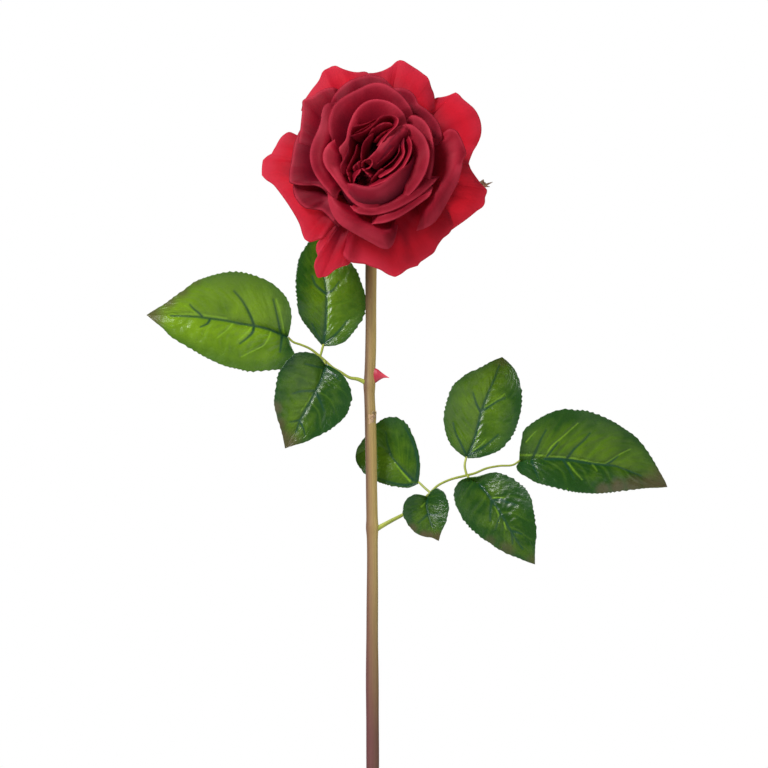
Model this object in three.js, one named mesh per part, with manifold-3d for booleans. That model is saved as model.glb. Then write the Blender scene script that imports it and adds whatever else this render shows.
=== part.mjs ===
// A long-stemmed red rose standing in a clear glass bud vase with water in it.
// Millimetres, +Z up, origin at the centre of the vase's foot. The bloom faces -Y.

import * as THREE from 'three';
import { mergeVertices } from 'three/addons/utils/BufferGeometryUtils.js';
import Module from 'manifold-3d';

const wasm = await Module();
wasm.setup();

// ---------------------------------------------------------------- driving dimensions

const GAP = 0.3;                  // running gap between pieces that touch

const VASE_HEIGHT = 190;
const FOOT_RADIUS = 29;
const BELLY_RADIUS = 37.5;
const NECK_RADIUS = 9.4;
const LIP_RADIUS = 16;
const VASE_WALL = 2.6;
const VASE_FLOOR = 8;
const VASE_SIDES = 28;
const WATER_LEVEL = 102;

const STEM_RADIUS = 3.1;
const STEM_SIDES = 10;
const STEM_STEPS = 44;
const STEM_END = new THREE.Vector3(0, 13.6, VASE_FLOOR + 0.7);
const STEM_AT_NECK = new THREE.Vector3(0, -3.3, 158);

const BLOOM_BASE = new THREE.Vector3(0.5, -26, 490.2);
const BLOOM_TILT = 12;            // degrees that the bloom looks up from level
const HEART_HEIGHT = 40;          // from the bloom's base to its heart, along its axis
const CALYX_FOOT = -15;           // along the bloom's axis, where the stem meets the calyx
const CALYX_RADIUS = 8.6;
const PETAL_THICKNESS = 0.8;
const PETAL_TAPER = 0.7;          // a petal's angular width at its root, against its rim
const LEAF_THICKNESS = 0.7;
const RACHIS_RADIUS = 1.0;
const PETIOLULE_RADIUS = 0.8;

const point = ([x, y, z]) => new THREE.Vector3(x, y, z);

// ---------------------------------------------------------------- solids

/** Merge shared corners, drop empty triangles and turn the faces outwards. */
function closed(geometry) {
  const bare = new THREE.BufferGeometry();
  bare.setAttribute('position', geometry.getAttribute('position').clone());
  bare.setIndex(geometry.index ? Array.from(geometry.index.array) : null);
  const merged = mergeVertices(bare, 1e-4);
  const at = merged.getAttribute('position');
  const corner = (i) => new THREE.Vector3().fromBufferAttribute(at, i);
  const faces = [];
  let volume = 0;
  for (let i = 0; i < merged.index.count; i += 3) {
    const [a, b, c] = merged.index.array.slice(i, i + 3);
    if (a === b || b === c || c === a) continue;
    faces.push([a, b, c]);
    volume += corner(a).dot(corner(b).cross(corner(c)));
  }
  const outward = volume > 0 ? faces : faces.map(([a, b, c]) => [a, c, b]);
  merged.setIndex(outward.flat());
  return merged;
}

/** The solid that a closed geometry bounds. */
function solid(geometry) {
  const shape = closed(geometry);
  return new wasm.Manifold(new wasm.Mesh({
    numProp: 3,
    vertProperties: new Float32Array(shape.getAttribute('position').array),
    triVerts: new Uint32Array(shape.index.array),
  }));
}

/** The geometry of the largest body of a solid: loose scraps are dropped, sealed hollows filled. */
function surface(whole) {
  const bodies = whole.decompose().sort((a, b) => b.volume() - a.volume());
  const mesh = bodies[0].simplify(0.01).getMesh();
  const geometry = new THREE.BufferGeometry();
  geometry.setAttribute('position', new THREE.BufferAttribute(mesh.vertProperties, 3));
  geometry.setIndex(Array.from(mesh.triVerts));
  return geometry;
}

/** Several geometries joined into one solid. */
function joined(geometries) {
  return geometries.map(solid).reduce((whole, next) => whole.add(next));
}

/** A body turned about the Z axis from [radius, height] pairs, closed on the axis. */
function turned(profile, sides) {
  const corners = profile.map(([radius, height]) => new THREE.Vector2(radius, height));
  return new THREE.LatheGeometry(corners, sides).rotateX(Math.PI / 2);
}

/** A round tube along a curve, closed at both ends. */
function tube(curve, radius, sides, steps) {
  const section = new THREE.Shape().absarc(0, 0, radius, 0, Math.PI * 2);
  return new THREE.ExtrudeGeometry(section, {
    steps,
    curveSegments: sides / 2,
    extrudePath: curve,
  });
}

/** A thin closed blade whose middle surface is a grid of points, grid[row][column]. */
function blade(grid, thickness) {
  const rows = grid.length;
  const columns = grid[0].length;
  const clamp = (value, count) => Math.min(Math.max(value, 0), count - 1);
  const at = (i, j) => grid[clamp(i, rows)][clamp(j, columns)];
  const corners = [];
  for (const side of [0.5, -0.5]) {
    for (let i = 0; i < rows; i++) {
      for (let j = 0; j < columns; j++) {
        const along = at(i + 1, j).clone().sub(at(i - 1, j));
        const across = at(i, j + 1).clone().sub(at(i, j - 1));
        const normal = along.cross(across).normalize();
        corners.push(...at(i, j).clone().addScaledVector(normal, side * thickness).toArray());
      }
    }
  }
  const front = (i, j) => i * columns + j;
  const back = (i, j) => rows * columns + front(i, j);
  const faces = [];
  for (let i = 0; i < rows - 1; i++) {
    for (let j = 0; j < columns - 1; j++) {
      const ring = [[i, j], [i + 1, j], [i + 1, j + 1], [i, j + 1]];
      const [a, b, c, d] = ring.map(([row, column]) => front(row, column));
      const [e, f, g, h] = ring.map(([row, column]) => back(row, column));
      faces.push(a, b, c, a, c, d, e, g, f, e, h, g);
    }
  }
  const edge = [];
  for (let j = 0; j < columns - 1; j++) edge.push([0, j]);
  for (let i = 0; i < rows - 1; i++) edge.push([i, columns - 1]);
  for (let j = columns - 1; j > 0; j--) edge.push([rows - 1, j]);
  for (let i = rows - 1; i > 0; i--) edge.push([i, 0]);
  edge.forEach(([i, j], k) => {
    const [m, n] = edge[(k + 1) % edge.length];
    faces.push(front(i, j), front(m, n), back(m, n), front(i, j), back(m, n), back(i, j));
  });
  const geometry = new THREE.BufferGeometry();
  geometry.setAttribute('position', new THREE.Float32BufferAttribute(corners, 3));
  geometry.setIndex(faces);
  return geometry;
}

// ---------------------------------------------------------------- vase and water

const VASE_OUTSIDE = new THREE.SplineCurve([
  [FOOT_RADIUS, 0],
  [BELLY_RADIUS - 3.5, 9],
  [BELLY_RADIUS, 28],
  [BELLY_RADIUS - 3, 50],
  [25, 76],
  [15, 106],
  [NECK_RADIUS + 0.8, 133],
  [NECK_RADIUS, 155],
  [NECK_RADIUS + 2, 174],
  [LIP_RADIUS, VASE_HEIGHT],
].map(([radius, height]) => new THREE.Vector2(radius, height))).getPoints(17);

/** The vase's inner radius at a height. */
function bore(height) {
  const above = Math.max(1, VASE_OUTSIDE.findIndex((corner) => corner.y >= height));
  const [low, high] = [VASE_OUTSIDE[above - 1], VASE_OUTSIDE[above]];
  const share = (height - low.y) / (high.y - low.y);
  return low.x + (high.x - low.x) * share - VASE_WALL;
}

/** Radius and height pairs up the inside of the vase, drawn in by a clearance. */
function insideProfile(clearance, top) {
  const heights = VASE_OUTSIDE.map((corner) => corner.y);
  const between = heights.filter((height) => height > VASE_FLOOR + 3 && height < top - 1);
  const wall = between.map((height) => [bore(height) - clearance, height]);
  const corner = bore(VASE_FLOOR + 3) - clearance;
  const floor = VASE_FLOOR + clearance;
  return [[0, floor], [corner - 4, floor], ...wall, [bore(top) - clearance, top]];
}

/** The glass vase: a heavy foot, a round belly, a slim neck and a flared lip. */
function vase() {
  const outside = VASE_OUTSIDE.map((corner) => [corner.x, corner.y]);
  const inside = insideProfile(0, VASE_HEIGHT).reverse();
  return closed(turned([[0, 0], ...outside, ...inside], VASE_SIDES));
}

/** The water in the vase, with a plain hole for the stem. */
function water() {
  const profile = [...insideProfile(GAP, WATER_LEVEL), [0, WATER_LEVEL]];
  return surface(solid(turned(profile, VASE_SIDES)).subtract(stemBore()));
}

// ---------------------------------------------------------------- stem

/** The stem's middle line: straight from the vase's floor, then up and over to the bloom. */
function stemLine() {
  const upper = [
    [0.0, -8.0, 205],
    [0.0, -9.0, 260],
    [0.0, -7.0, 315],
    [-0.5, -4.0, 372],
    [-1.1, -1.5, 392],
    [-0.7, 2.0, 447],
    [-0.3, 3.0, 466],
    [0.2, 0.4, 480],
    [0.5, -5.6, 486],
  ].map(point);
  const top = bloomPoint(0, 0, CALYX_FOOT - GAP);
  return new THREE.CatmullRomCurve3([STEM_END, STEM_AT_NECK, ...upper, top]);
}

/** The long stem. */
function stem() {
  return closed(tube(stemLine(), STEM_RADIUS, STEM_SIDES, STEM_STEPS));
}

/** The stem with its running gap, as a solid to cut holes and seats with. */
function stemBore() {
  const line = stemLine();
  const below = STEM_END.clone().add(STEM_END.clone().sub(STEM_AT_NECK).multiplyScalar(0.1));
  const longer = new THREE.CatmullRomCurve3([below, ...line.points.slice(1)]);
  return solid(tube(longer, STEM_RADIUS + GAP, STEM_SIDES, STEM_STEPS));
}

const THORN = {
  root: [-0.4, -1.4, 394.6],      // on the stem's middle line
  tip: [8.2, -3.2, 391.4],
  height: 4.4,                    // half of its root, up and down the stem
  width: 1.9,                     // half of its root, round the stem
  point: 0.25,                    // half of its tip
  rings: 6,
  sides: 8,
};

/** The thorn on the stem's right side: it narrows to a point, faster in height than in width. */
function thorn() {
  const [root, tip] = [point(THORN.root), point(THORN.tip)];
  const rings = [];
  for (let i = 0; i < THORN.rings; i++) {
    const share = i / (THORN.rings - 1);
    const middle = root.clone().lerp(tip, share);
    const height = THORN.height * (1 - share) ** 1.3 + THORN.point;
    const width = THORN.width * (1 - share) ** 0.9 + THORN.point;
    rings.push(Array.from({ length: THORN.sides }, (_, k) => {
      const angle = (k / THORN.sides) * Math.PI * 2;
      const around = new THREE.Vector3(0, width * Math.cos(angle), height * Math.sin(angle));
      return middle.clone().add(around);
    }));
  }
  return surface(solid(lofted(rings)).subtract(stemBore()));
}

/** A closed skin over a row of rings of points. */
function lofted(rings) {
  const sides = rings[0].length;
  const corners = rings.flat();
  const centre = (ring) => ring.reduce((sum, next) => sum.add(next), new THREE.Vector3())
    .divideScalar(sides);
  corners.push(centre(rings[0]), centre(rings[rings.length - 1]));
  const [first, last] = [corners.length - 2, corners.length - 1];
  const end = (rings.length - 1) * sides;
  const faces = [];
  for (let k = 0; k < sides; k++) {
    const next = (k + 1) % sides;
    faces.push(first, next, k, last, end + k, end + next);
    for (let i = 0; i < rings.length - 1; i++) {
      const [low, high] = [i * sides, (i + 1) * sides];
      faces.push(low + k, low + next, high + next, low + k, high + next, high + k);
    }
  }
  const geometry = new THREE.BufferGeometry();
  geometry.setAttribute('position', new THREE.Float32BufferAttribute(
    corners.flatMap((corner) => corner.toArray()), 3));
  geometry.setIndex(faces);
  return geometry;
}

// ---------------------------------------------------------------- leaves

// Each leaflet: base and tip of its midrib, the widest reach to its left and right (seen
// looking at the leaf's face with the tip up), how far the midrib bows to the right, how far
// the blade arches towards the face, how steeply its halves fold up, how far its base lobes
// reach back, and the way its face looks.
const LEFT_SPRAY = {
  rachis: [[-2.4, -1.6, 389.4], [-13, -3.4, 394.9], [-24.1, -5, 401.2], [-40.5, -7, 412.1]],
  leaflets: [
    {
      base: [-40.3, -7, 412], tip: [-108.5, -15, 423.3], left: 22, right: 21.5,
      bow: 4.5, arch: 5, fold: 0.22, lobe: 3, face: [0.1, -1, 0.25],
    },
    {
      base: [-23.6, 0, 408.6], tip: [-22.7, 16, 461.9], left: 14.5, right: 18.5,
      bow: 0.5, arch: 4, fold: 0.25, lobe: 4, face: [0, -1, -0.2],
    },
    {
      base: [-23.1, -6, 399.7], tip: [-41.9, -17, 359.2], left: 19, right: 19,
      bow: 0.5, arch: 4, fold: 0.2, lobe: 3, face: [0, -1, 0.3],
    },
  ],
  petiolules: [
    [[-25, -5, 402], [-24.2, -2.6, 405.4], [-23.6, 0, 409.6]],
    [[-24.1, -5, 401.2], [-23.5, -5.6, 400.4], [-23.5, -6.2, 398.6]],
  ],
};

const RIGHT_SPRAY = {
  rachis: [
    [2.4, -7, 318.6], [14.5, -5, 327.4], [30.4, -2, 339], [45.3, 1, 345.3],
    [57.8, 4, 349.6], [71.8, 7, 354],
  ],
  leaflets: [
    {
      base: [71.3, 7, 353.9], tip: [142.2, 20, 340.4], left: 21.5, right: 15.5,
      bow: -5, arch: 5, fold: 0.4, lobe: 3, face: [0, -1, 0.2],
    },
    {
      base: [46, 3, 354.9], tip: [62.7, 19, 403.1], left: 15.5, right: 18,
      bow: -2, arch: 4, fold: 0.28, lobe: 4, face: [0.1, -1, -0.1],
    },
    {
      base: [47.2, -0.6, 344.3], tip: [78.6, -11, 303.3], left: 18, right: 15.5,
      bow: 2, arch: 4, fold: 0.25, lobe: 4, face: [0, -1, 0.2],
    },
    {
      base: [22.7, 1.2, 342.4], tip: [-7.7, 10, 355.9], left: 10, right: 19,
      bow: 6, arch: 2, fold: 0.15, lobe: -1.5, face: [0.1, -1, 0],
    },
    {
      base: [28, -5, 338.5], tip: [32.3, -13, 314.4], left: 9.5, right: 13.5,
      bow: 1.5, arch: 2.5, fold: 0.2, lobe: 1, face: [0, -1, 0.2],
    },
  ],
  petiolules: [
    [[45.3, 1, 345.3], [45.8, 1.8, 349.6], [46, 3, 356]],
    [[45.3, 1, 345.3], [46.6, 0.2, 344.6], [48, -0.8, 343.4]],
    [[28.6, -2.4, 337.8], [25.5, -0.4, 340.2], [21.8, 1.4, 342.9]],
    [[29.4, -2.2, 338.4], [28.4, -4.2, 339.4], [28.1, -5.2, 337.6]],
  ],
};

const TOOTH_PITCH = 7.6;          // along the blade's length
const LEAF_COLUMNS = [-1, -0.5, 0, 0.5, 1];
const TOOTH_DEPTH = 0.055;        // of the blade's width
const TIP_SHARPNESS = 0.95;
const BASE_ROUNDNESS = 0.5;

/** The blade's width at a share of its length, 1 at the widest. */
function leafWidth(share) {
  const widest = BASE_ROUNDNESS / (BASE_ROUNDNESS + TIP_SHARPNESS);
  const outline = (s) => s ** BASE_ROUNDNESS * (1 - s) ** TIP_SHARPNESS;
  return outline(share) / outline(widest);
}

/** One leaflet with a toothed edge, as a grid of points. */
function leafletGrid({ base, tip, left, right, bow, arch, fold, lobe, face }) {
  const start = point(base);
  const along = point(tip).sub(start);
  const length = along.length();
  along.normalize();
  const across = along.clone().cross(point(face)).normalize();
  const normal = across.clone().cross(along).normalize();
  const rows = 2 * Math.round(length / TOOTH_PITCH);
  const grid = [];
  for (let i = 0; i <= rows; i++) {
    const share = i / rows;
    const ends = Math.min(Math.max(share, 0.004), 0.992);
    const tooth = i % 2 ? TOOTH_DEPTH : -TOOTH_DEPTH;
    const crown = 4 * share * (1 - share);
    grid.push(LEAF_COLUMNS.map((column) => {
      const reach = column < 0 ? right : left;
      const edge = Math.abs(column) === 1 ? 1 + tooth : 1;
      const out = column * reach * leafWidth(ends) * edge;
      const forward = Math.abs(column) * (length * 0.07 * crown - lobe * (1 - share) ** 4);
      return start.clone()
        .addScaledVector(along, share * length + forward)
        .addScaledVector(across, bow * crown - out)
        .addScaledVector(normal, arch * crown + fold * Math.abs(out));
    }));
  }
  return grid;
}

/** A compound leaf: leaflets on their stalks along one rachis, cut clear of the stem. */
function spray({ rachis, leaflets, petiolules }) {
  const stalk = (points, radius, steps) => (
    tube(new THREE.CatmullRomCurve3(points.map(point)), radius, 6, steps));
  const pieces = [
    stalk(rachis, RACHIS_RADIUS, 4 * (rachis.length - 1)),
    ...petiolules.map((points) => stalk(points, PETIOLULE_RADIUS, 4)),
    ...leaflets.map((leaflet) => blade(leafletGrid(leaflet), LEAF_THICKNESS)),
  ];
  return surface(joined(pieces).subtract(stemBore()));
}

// ---------------------------------------------------------------- bloom

/** A point of the bloom's own frame: right, up across the face, and out along its axis. */
function bloomPoint(right, up, out) {
  const tilt = THREE.MathUtils.degToRad(BLOOM_TILT);
  const [sine, cosine] = [Math.sin(tilt), Math.cos(tilt)];
  return new THREE.Vector3(right, up * sine - out * cosine, up * cosine + out * sine)
    .add(BLOOM_BASE);
}

// Petals from the outside in. A rim is a list of [angle, radius, height]: where the rim lies
// as the bloom is seen from the front, round its heart, in degrees from the right and mm,
// and how high it stands along the bloom's axis. The girth is the cup's radius low down,
// and the lean is the way that the blade runs into its rim, outwards and along the axis.
const OUTER = { foot: 0, girth: 24, lean: [22, -14] };
const MIDDLE = { foot: 2, girth: 22, lean: [13, -6] };
const CUP = { foot: 5, girth: 20, lean: [6, 2] };
const PETALS = [
  { ...OUTER, rim: [[88, 38, 10], [95.7, 42.6, 12], [104, 44, 12], [111.9, 48.1, 10],
    [119.6, 48.2, 9], [127.9, 44.4, 11], [135, 41, 12]] },
  { ...OUTER, rim: [[43, 40, 14], [49.6, 44.6, 14], [60.3, 47.8, 13], [75, 49.1, 11],
    [83.2, 43.2, 13], [92, 39, 12]] },
  { ...OUTER, rim: [[-4, 42, 9], [2, 46.4, 10], [9, 49.8, 9], [16, 54.5, 8], [24.4, 55.5, 7],
    [30.6, 53.9, 8], [38.5, 50.9, 9], [44.5, 42.1, 10], [50, 38, 9]] },
  { ...OUTER, rim: [[306, 46, 11], [311, 50.8, 11], [319.7, 51.8, 11], [328.9, 54.2, 9],
    [337.5, 57.7, 7], [346, 56.3, 7], [349.7, 52.8, 9], [357.3, 46.1, 12], [363, 41, 12]] },
  { ...OUTER, rim: [[250, 45, 10], [257.4, 50.9, 9], [267, 51, 9], [280.2, 57.7, 5],
    [287, 55.3, 7], [295, 55.6, 7], [301.8, 54.8, 8], [311, 50.8, 8], [318, 45, 8]] },
  { ...OUTER, rim: [[232, 46, 4], [237.4, 52.1, 5], [245.3, 62.7, 2], [251.3, 57.2, 4],
    [256.8, 51.4, 4], [264, 45, 4]] },
  { ...OUTER, rim: [[158, 38, 9], [165, 44, 10], [175.6, 48.1, 9], [180, 52.8, 7],
    [188.6, 53.7, 7], [200.9, 47.6, 11], [211, 46.3, 12], [221.5, 47.5, 10],
    [229.2, 50.7, 8], [235.7, 47.1, 8], [241, 40, 8]] },
  { ...MIDDLE, rim: [[200, 36, 15], [206.9, 40.6, 14], [214.5, 39.8, 14], [222, 37.4, 15],
    [237, 36.3, 16], [244, 33, 16]] },
  { ...MIDDLE, rim: [[284, 44, 13], [289.8, 49.6, 12], [300, 48.5, 12], [312, 48, 12],
    [321.9, 47.6, 11], [328, 42, 13]] },
  { ...MIDDLE, rim: [[74, 36, 22], [84, 39, 24], [104, 39.3, 23], [116, 38.5, 22],
    [126, 37, 20]] },
  { ...MIDDLE, rim: [[14, 33, 20], [20.3, 35.4, 22], [28.6, 36.4, 23], [42.9, 35.2, 25],
    [50.2, 34.3, 25], [60.4, 37.5, 22], [66.9, 37.5, 22], [75.6, 35.6, 22], [82, 32, 20]] },
  { ...MIDDLE, rim: [[296, 37, 20], [305, 40.1, 20], [312.8, 42, 20], [322.4, 40.3, 21],
    [335.6, 41.1, 20], [347, 42, 20], [357.5, 43.4, 18], [364.2, 45, 17], [372.4, 42.6, 19],
    [381.2, 38.7, 20], [388, 34, 20]] },
  { ...MIDDLE, rim: [[128, 38, 22], [134, 43, 22], [139.9, 44.2, 20], [149.7, 40, 22],
    [157.5, 37.6, 24], [168.4, 38.7, 24], [178.7, 39.7, 23], [188, 41, 20],
    [193.6, 41.5, 17], [198.6, 38.2, 19], [205.8, 28.8, 24], [216, 26, 26]] },
  { ...MIDDLE, rim: [[214, 26.5, 24], [227.9, 30.4, 24], [240.5, 33, 23], [253.3, 35, 22],
    [267.3, 37.7, 20], [279, 43.4, 16], [289.9, 34.2, 20], [296, 30, 20]] },
  { ...CUP, rim: [[266, 28, 26], [270.5, 31, 27], [275.8, 29.9, 28], [292, 30.5, 28],
    [304, 30.5, 28], [315.6, 31.2, 28], [328.2, 32.3, 27], [337.3, 31.6, 26], [344, 28, 25]] },
  { ...CUP, rim: [[128, 33, 27], [134.4, 35, 27], [143.9, 30.8, 29], [161, 30.3, 30],
    [171.7, 30, 30], [185.1, 28.8, 31], [200, 27.6, 31], [217.8, 26.7, 30], [226, 25, 29]] },
  { ...CUP, lean: [10, -3], rim: [[46, 25, 32], [49.5, 27.5, 33], [59, 30, 33],
    [71.2, 33, 33], [81.7, 35.4, 32], [92.8, 36.4, 31], [101.8, 35.7, 31], [114.4, 34.3, 31],
    [127.7, 31.6, 32], [141.5, 26.9, 33], [150, 24, 32]] },
  { ...CUP, rim: [[318, 25, 31], [322, 26.5, 32], [339.4, 26.8, 32], [354.8, 27.9, 32],
    [371.2, 29.4, 32], [387.3, 30.5, 32], [399.4, 30.7, 31], [406, 28, 30]] },
  { ...CUP, rim: [[244, 24, 30], [255, 26.3, 31], [270, 26.8, 31], [290, 26.8, 31],
    [305, 26.6, 31], [325, 25, 30]] },
  { ...CUP, rim: [[42, 22, 35], [47, 23.8, 35], [55.6, 26.1, 35], [64.4, 27.7, 35],
    [77, 28.8, 35], [89.4, 28.4, 35], [103, 26.4, 35], [118.9, 22.3, 35], [126, 20, 34]] },
  { ...CUP, rim: [[-6, 23, 33], [0.5, 24.7, 34], [15, 25, 35], [30, 24, 35],
    [46.1, 22.3, 35], [54, 20, 34]] },
  { ...CUP, rim: [[226, 19.5, 33], [234.5, 20.9, 34], [251.2, 22.7, 34], [265.7, 23.6, 34],
    [278.8, 24.3, 33], [286, 22, 32]] },
  { ...CUP, girth: 16, rim: [[148, 20, 35], [153.6, 21.4, 36], [162.5, 23.5, 36],
    [172.9, 24, 36], [184.6, 23.2, 36], [201.2, 20.4, 36], [215, 19.7, 36], [229.4, 19.7, 35]] },
  { ...CUP, girth: 22, lean: [-8, 10], rim: [[252, 13, 38], [262.7, 14, 38], [278, 13.2, 38],
    [293.9, 12.6, 38], [312, 13, 38], [330.9, 13.7, 38], [345, 14.5, 38], [362, 15.4, 38]] },
];
const PETAL_ROOT = 0.12;          // where the blade starts, inside the bloom's core

// The folded petals in the heart, as [right, up, height] of their rims seen from the front:
// nested lips along a slit that runs from the lower left to the upper right.
const HEART_PETALS = [
  [[-15.6, -6, 36], [-14, 3, 37], [-11.5, 12, 37], [-8, 17, 38], [-2, 18, 38], [4, 20.6, 38],
    [12, 20.6, 36]],
  [[-12.6, -7, 37], [-12.4, 3, 38], [-9.6, 11.6, 39], [-4.5, 14.6, 39], [3, 15.8, 39],
    [9, 17.4, 38]],
  [[-10, -10, 37], [-8.6, -2, 39], [-5, 6, 40], [0, 10.4, 40], [7, 14, 39]],
  [[-6.6, -11, 37], [-4.6, -4, 40], [0, 2.4, 41], [6, 8.4, 40], [11.6, 13, 38]],
  [[-3.6, -11.4, 38], [1, -4.6, 40], [6.4, 1.4, 40], [11, 7, 39], [14, 12, 37]],
  [[3, -11, 37], [8, -6, 39], [12.4, 0.6, 39], [15.8, 7, 38], [16, 13, 37], [13, 16.4, 36]],
];
const HEART_ROOT = { share: 0.6, height: 20, belly: 0.18 };

// The dense heart that the petals stand out of: [radius, height] along the bloom's axis.
const CORE = [[0, -2], [9, -2], [14, 2], [18.5, 9], [19, 16], [15, 21], [0, 23]];
const BLOOM_SIDES = 14;           // round the core and the calyx
const PETAL_ROWS = 4;
const HEART_ROWS = 2;
const HEART_COLUMNS = 5;
const [FEWEST_COLUMNS, MOST_COLUMNS] = [4, 7];

/** A rim point in the bloom's frame, from its place as seen from the front. */
function rimPoint([angle, radius, height]) {
  const turn = THREE.MathUtils.degToRad(angle);
  const tilt = THREE.MathUtils.degToRad(BLOOM_TILT);
  const fall = (HEART_HEIGHT - height) * Math.sin(tilt);
  const up = (radius * Math.sin(turn) + fall) / Math.cos(tilt);
  return new THREE.Vector3(radius * Math.cos(turn), up, height);
}

/** The middle surface of a petal: each column runs from the root up the cup to the rim. */
function petalGrid({ foot, girth, lean, rim }, rows, columns) {
  const line = new THREE.CatmullRomCurve3(rim.map(rimPoint));
  const rims = Array.from({ length: columns + 1 }, (_, j) => line.getPoint(j / columns));
  const middle = line.getPoint(0.5);
  const facing = Math.atan2(middle.y, middle.x);
  const strips = rims.map((end) => {
    const radius = Math.hypot(end.x, end.y);
    const turn = Math.atan2(end.y, end.x) - facing;
    const offset = Math.atan2(Math.sin(turn), Math.cos(turn));
    const profile = new THREE.CubicBezierCurve(
      new THREE.Vector2(3, foot),
      new THREE.Vector2(girth, foot + 3),
      new THREE.Vector2(radius - lean[0], end.z - lean[1]),
      new THREE.Vector2(radius, end.z),
    );
    return { offset, profile };
  });
  return Array.from({ length: rows + 1 }, (_, i) => {
    const share = PETAL_ROOT + (1 - PETAL_ROOT) * (i / rows);
    const spread = PETAL_TAPER + (1 - PETAL_TAPER) * share ** 0.6;
    return strips.map(({ offset, profile }) => {
      const at = profile.getPoint(share);
      const angle = facing + offset * spread;
      return bloomPoint(at.x * Math.cos(angle), at.x * Math.sin(angle), at.y);
    });
  });
}

/** A folded petal of the heart: a wall that rises from the core and swells on its way up. */
function heartGrid(rim, rows, columns) {
  const { share: root, height: low, belly } = HEART_ROOT;
  const line = new THREE.CatmullRomCurve3(rim.map(([right, up, height]) => (
    rimPoint([THREE.MathUtils.radToDeg(Math.atan2(up, right)), Math.hypot(right, up), height]))));
  return Array.from({ length: rows + 1 }, (_, i) => {
    const share = i / rows;
    const spread = root + (1 - root) * share + belly * Math.sin(share * Math.PI);
    return Array.from({ length: columns + 1 }, (__, j) => {
      const end = line.getPoint(j / columns);
      return bloomPoint(end.x * spread, end.y * spread, low + (end.z - low) * share);
    });
  });
}

/** A body turned about the bloom's axis. */
function turnedOnBloom(profile, sides) {
  const geometry = turned(profile, sides);
  const at = geometry.getAttribute('position');
  for (let i = 0; i < at.count; i++) {
    const place = bloomPoint(at.getX(i), at.getY(i), at.getZ(i));
    at.setXYZ(i, place.x, place.y, place.z);
  }
  return geometry;
}

/** The bloom: every petal grown out of one heart. */
function bloom() {
  const petals = PETALS.map((petal) => {
    const columns = THREE.MathUtils.clamp(petal.rim.length - 1, FEWEST_COLUMNS, MOST_COLUMNS);
    return blade(petalGrid(petal, PETAL_ROWS, columns), PETAL_THICKNESS);
  });
  const heart = HEART_PETALS.map((rim) => (
    blade(heartGrid(rim, HEART_ROWS, HEART_COLUMNS), PETAL_THICKNESS)));
  return surface(joined([turnedOnBloom(CORE, BLOOM_SIDES), ...petals, ...heart]));
}

// Sepals as [angle, length], lying back behind the petals. The first one reaches past them.
const SEPALS = [[-3, 56.5], [69, 38], [141, 40], [213, 41], [285, 42]];
const SEPAL_START = 4;            // from the bloom's axis, inside the calyx
const SEPAL_HALF_WIDTH = 4.6;
const SEPAL_TIP = 0.35;           // half of the tip's width
const SEPAL_LOW = -6;             // along the bloom's axis, at the calyx
const SEPAL_RISE = 3.4;
const SEPAL_KEEL = 0.5;           // how far the middle stands back from the edges
const SEPAL_ROWS = 7;

/** One pointed sepal, as a grid of points from the calyx outwards. */
function sepalGrid([angle, length]) {
  const turn = THREE.MathUtils.degToRad(angle);
  return Array.from({ length: SEPAL_ROWS + 1 }, (_, i) => {
    const share = i / SEPAL_ROWS;
    const out = SEPAL_START + (length - SEPAL_START) * share;
    const taper = (1 - share) ** 0.8 * (0.55 + 0.45 * Math.sin(share * Math.PI));
    const half = SEPAL_HALF_WIDTH * taper + SEPAL_TIP;
    const height = SEPAL_LOW + SEPAL_RISE * Math.sin(share * Math.PI * 0.55);
    return [-1, 0, 1].map((side) => {
      const right = out * Math.cos(turn) - side * half * Math.sin(turn);
      const up = out * Math.sin(turn) + side * half * Math.cos(turn);
      return bloomPoint(right, up, height - (side ? 0 : SEPAL_KEEL));
    });
  });
}

/** The green calyx behind the bloom, with its five sepals. */
function calyx() {
  const top = CORE[0][1] - GAP;
  const cup = turnedOnBloom([
    [0, CALYX_FOOT],
    [STEM_RADIUS + 0.2, CALYX_FOOT],
    [STEM_RADIUS + 1.4, CALYX_FOOT + 1.5],
    [CALYX_RADIUS - 1.6, CALYX_FOOT + 5],
    [CALYX_RADIUS, CALYX_FOOT + 9],
    [CALYX_RADIUS - 0.6, top],
    [0, top],
  ], BLOOM_SIDES);
  const sepals = SEPALS.map((sepal) => blade(sepalGrid(sepal), PETAL_THICKNESS));
  return surface(joined([cup, ...sepals]));
}

// ---------------------------------------------------------------- the assembly

const FINISHES = {
  glass: { color: 0xe9f2f1, roughness: 0.03, metalness: 0, transparent: true, opacity: 0.35 },
  water: { color: 0xdfeef0, roughness: 0.02, metalness: 0, transparent: true, opacity: 0.3 },
  stem: { color: 0x8a7446, roughness: 0.5, metalness: 0 },
  thorn: { color: 0xb5304a, roughness: 0.45, metalness: 0 },
  leaf: { color: 0x2f5f22, roughness: 0.38, metalness: 0, side: THREE.DoubleSide },
  calyx: { color: 0x6f7a3c, roughness: 0.55, metalness: 0 },
  petal: { color: 0x9c1526, roughness: 0.7, metalness: 0, side: THREE.DoubleSide },
};

/** A named mesh with its own material. */
function piece(name, geometry, finish) {
  geometry.computeVertexNormals();
  const mesh = new THREE.Mesh(geometry, new THREE.MeshStandardMaterial(FINISHES[finish]));
  mesh.name = name;
  return mesh;
}

const rose = new THREE.Group();
rose.add(piece('vase', vase(), 'glass'));
rose.add(piece('water', water(), 'water'));
rose.add(piece('stem', stem(), 'stem'));
rose.add(piece('thorn', thorn(), 'thorn'));
rose.add(piece('spray_left', spray(LEFT_SPRAY), 'leaf'));
rose.add(piece('spray_right', spray(RIGHT_SPRAY), 'leaf'));
rose.add(piece('calyx', calyx(), 'calyx'));
rose.add(piece('bloom', bloom(), 'petal'));

export default rose;
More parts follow.
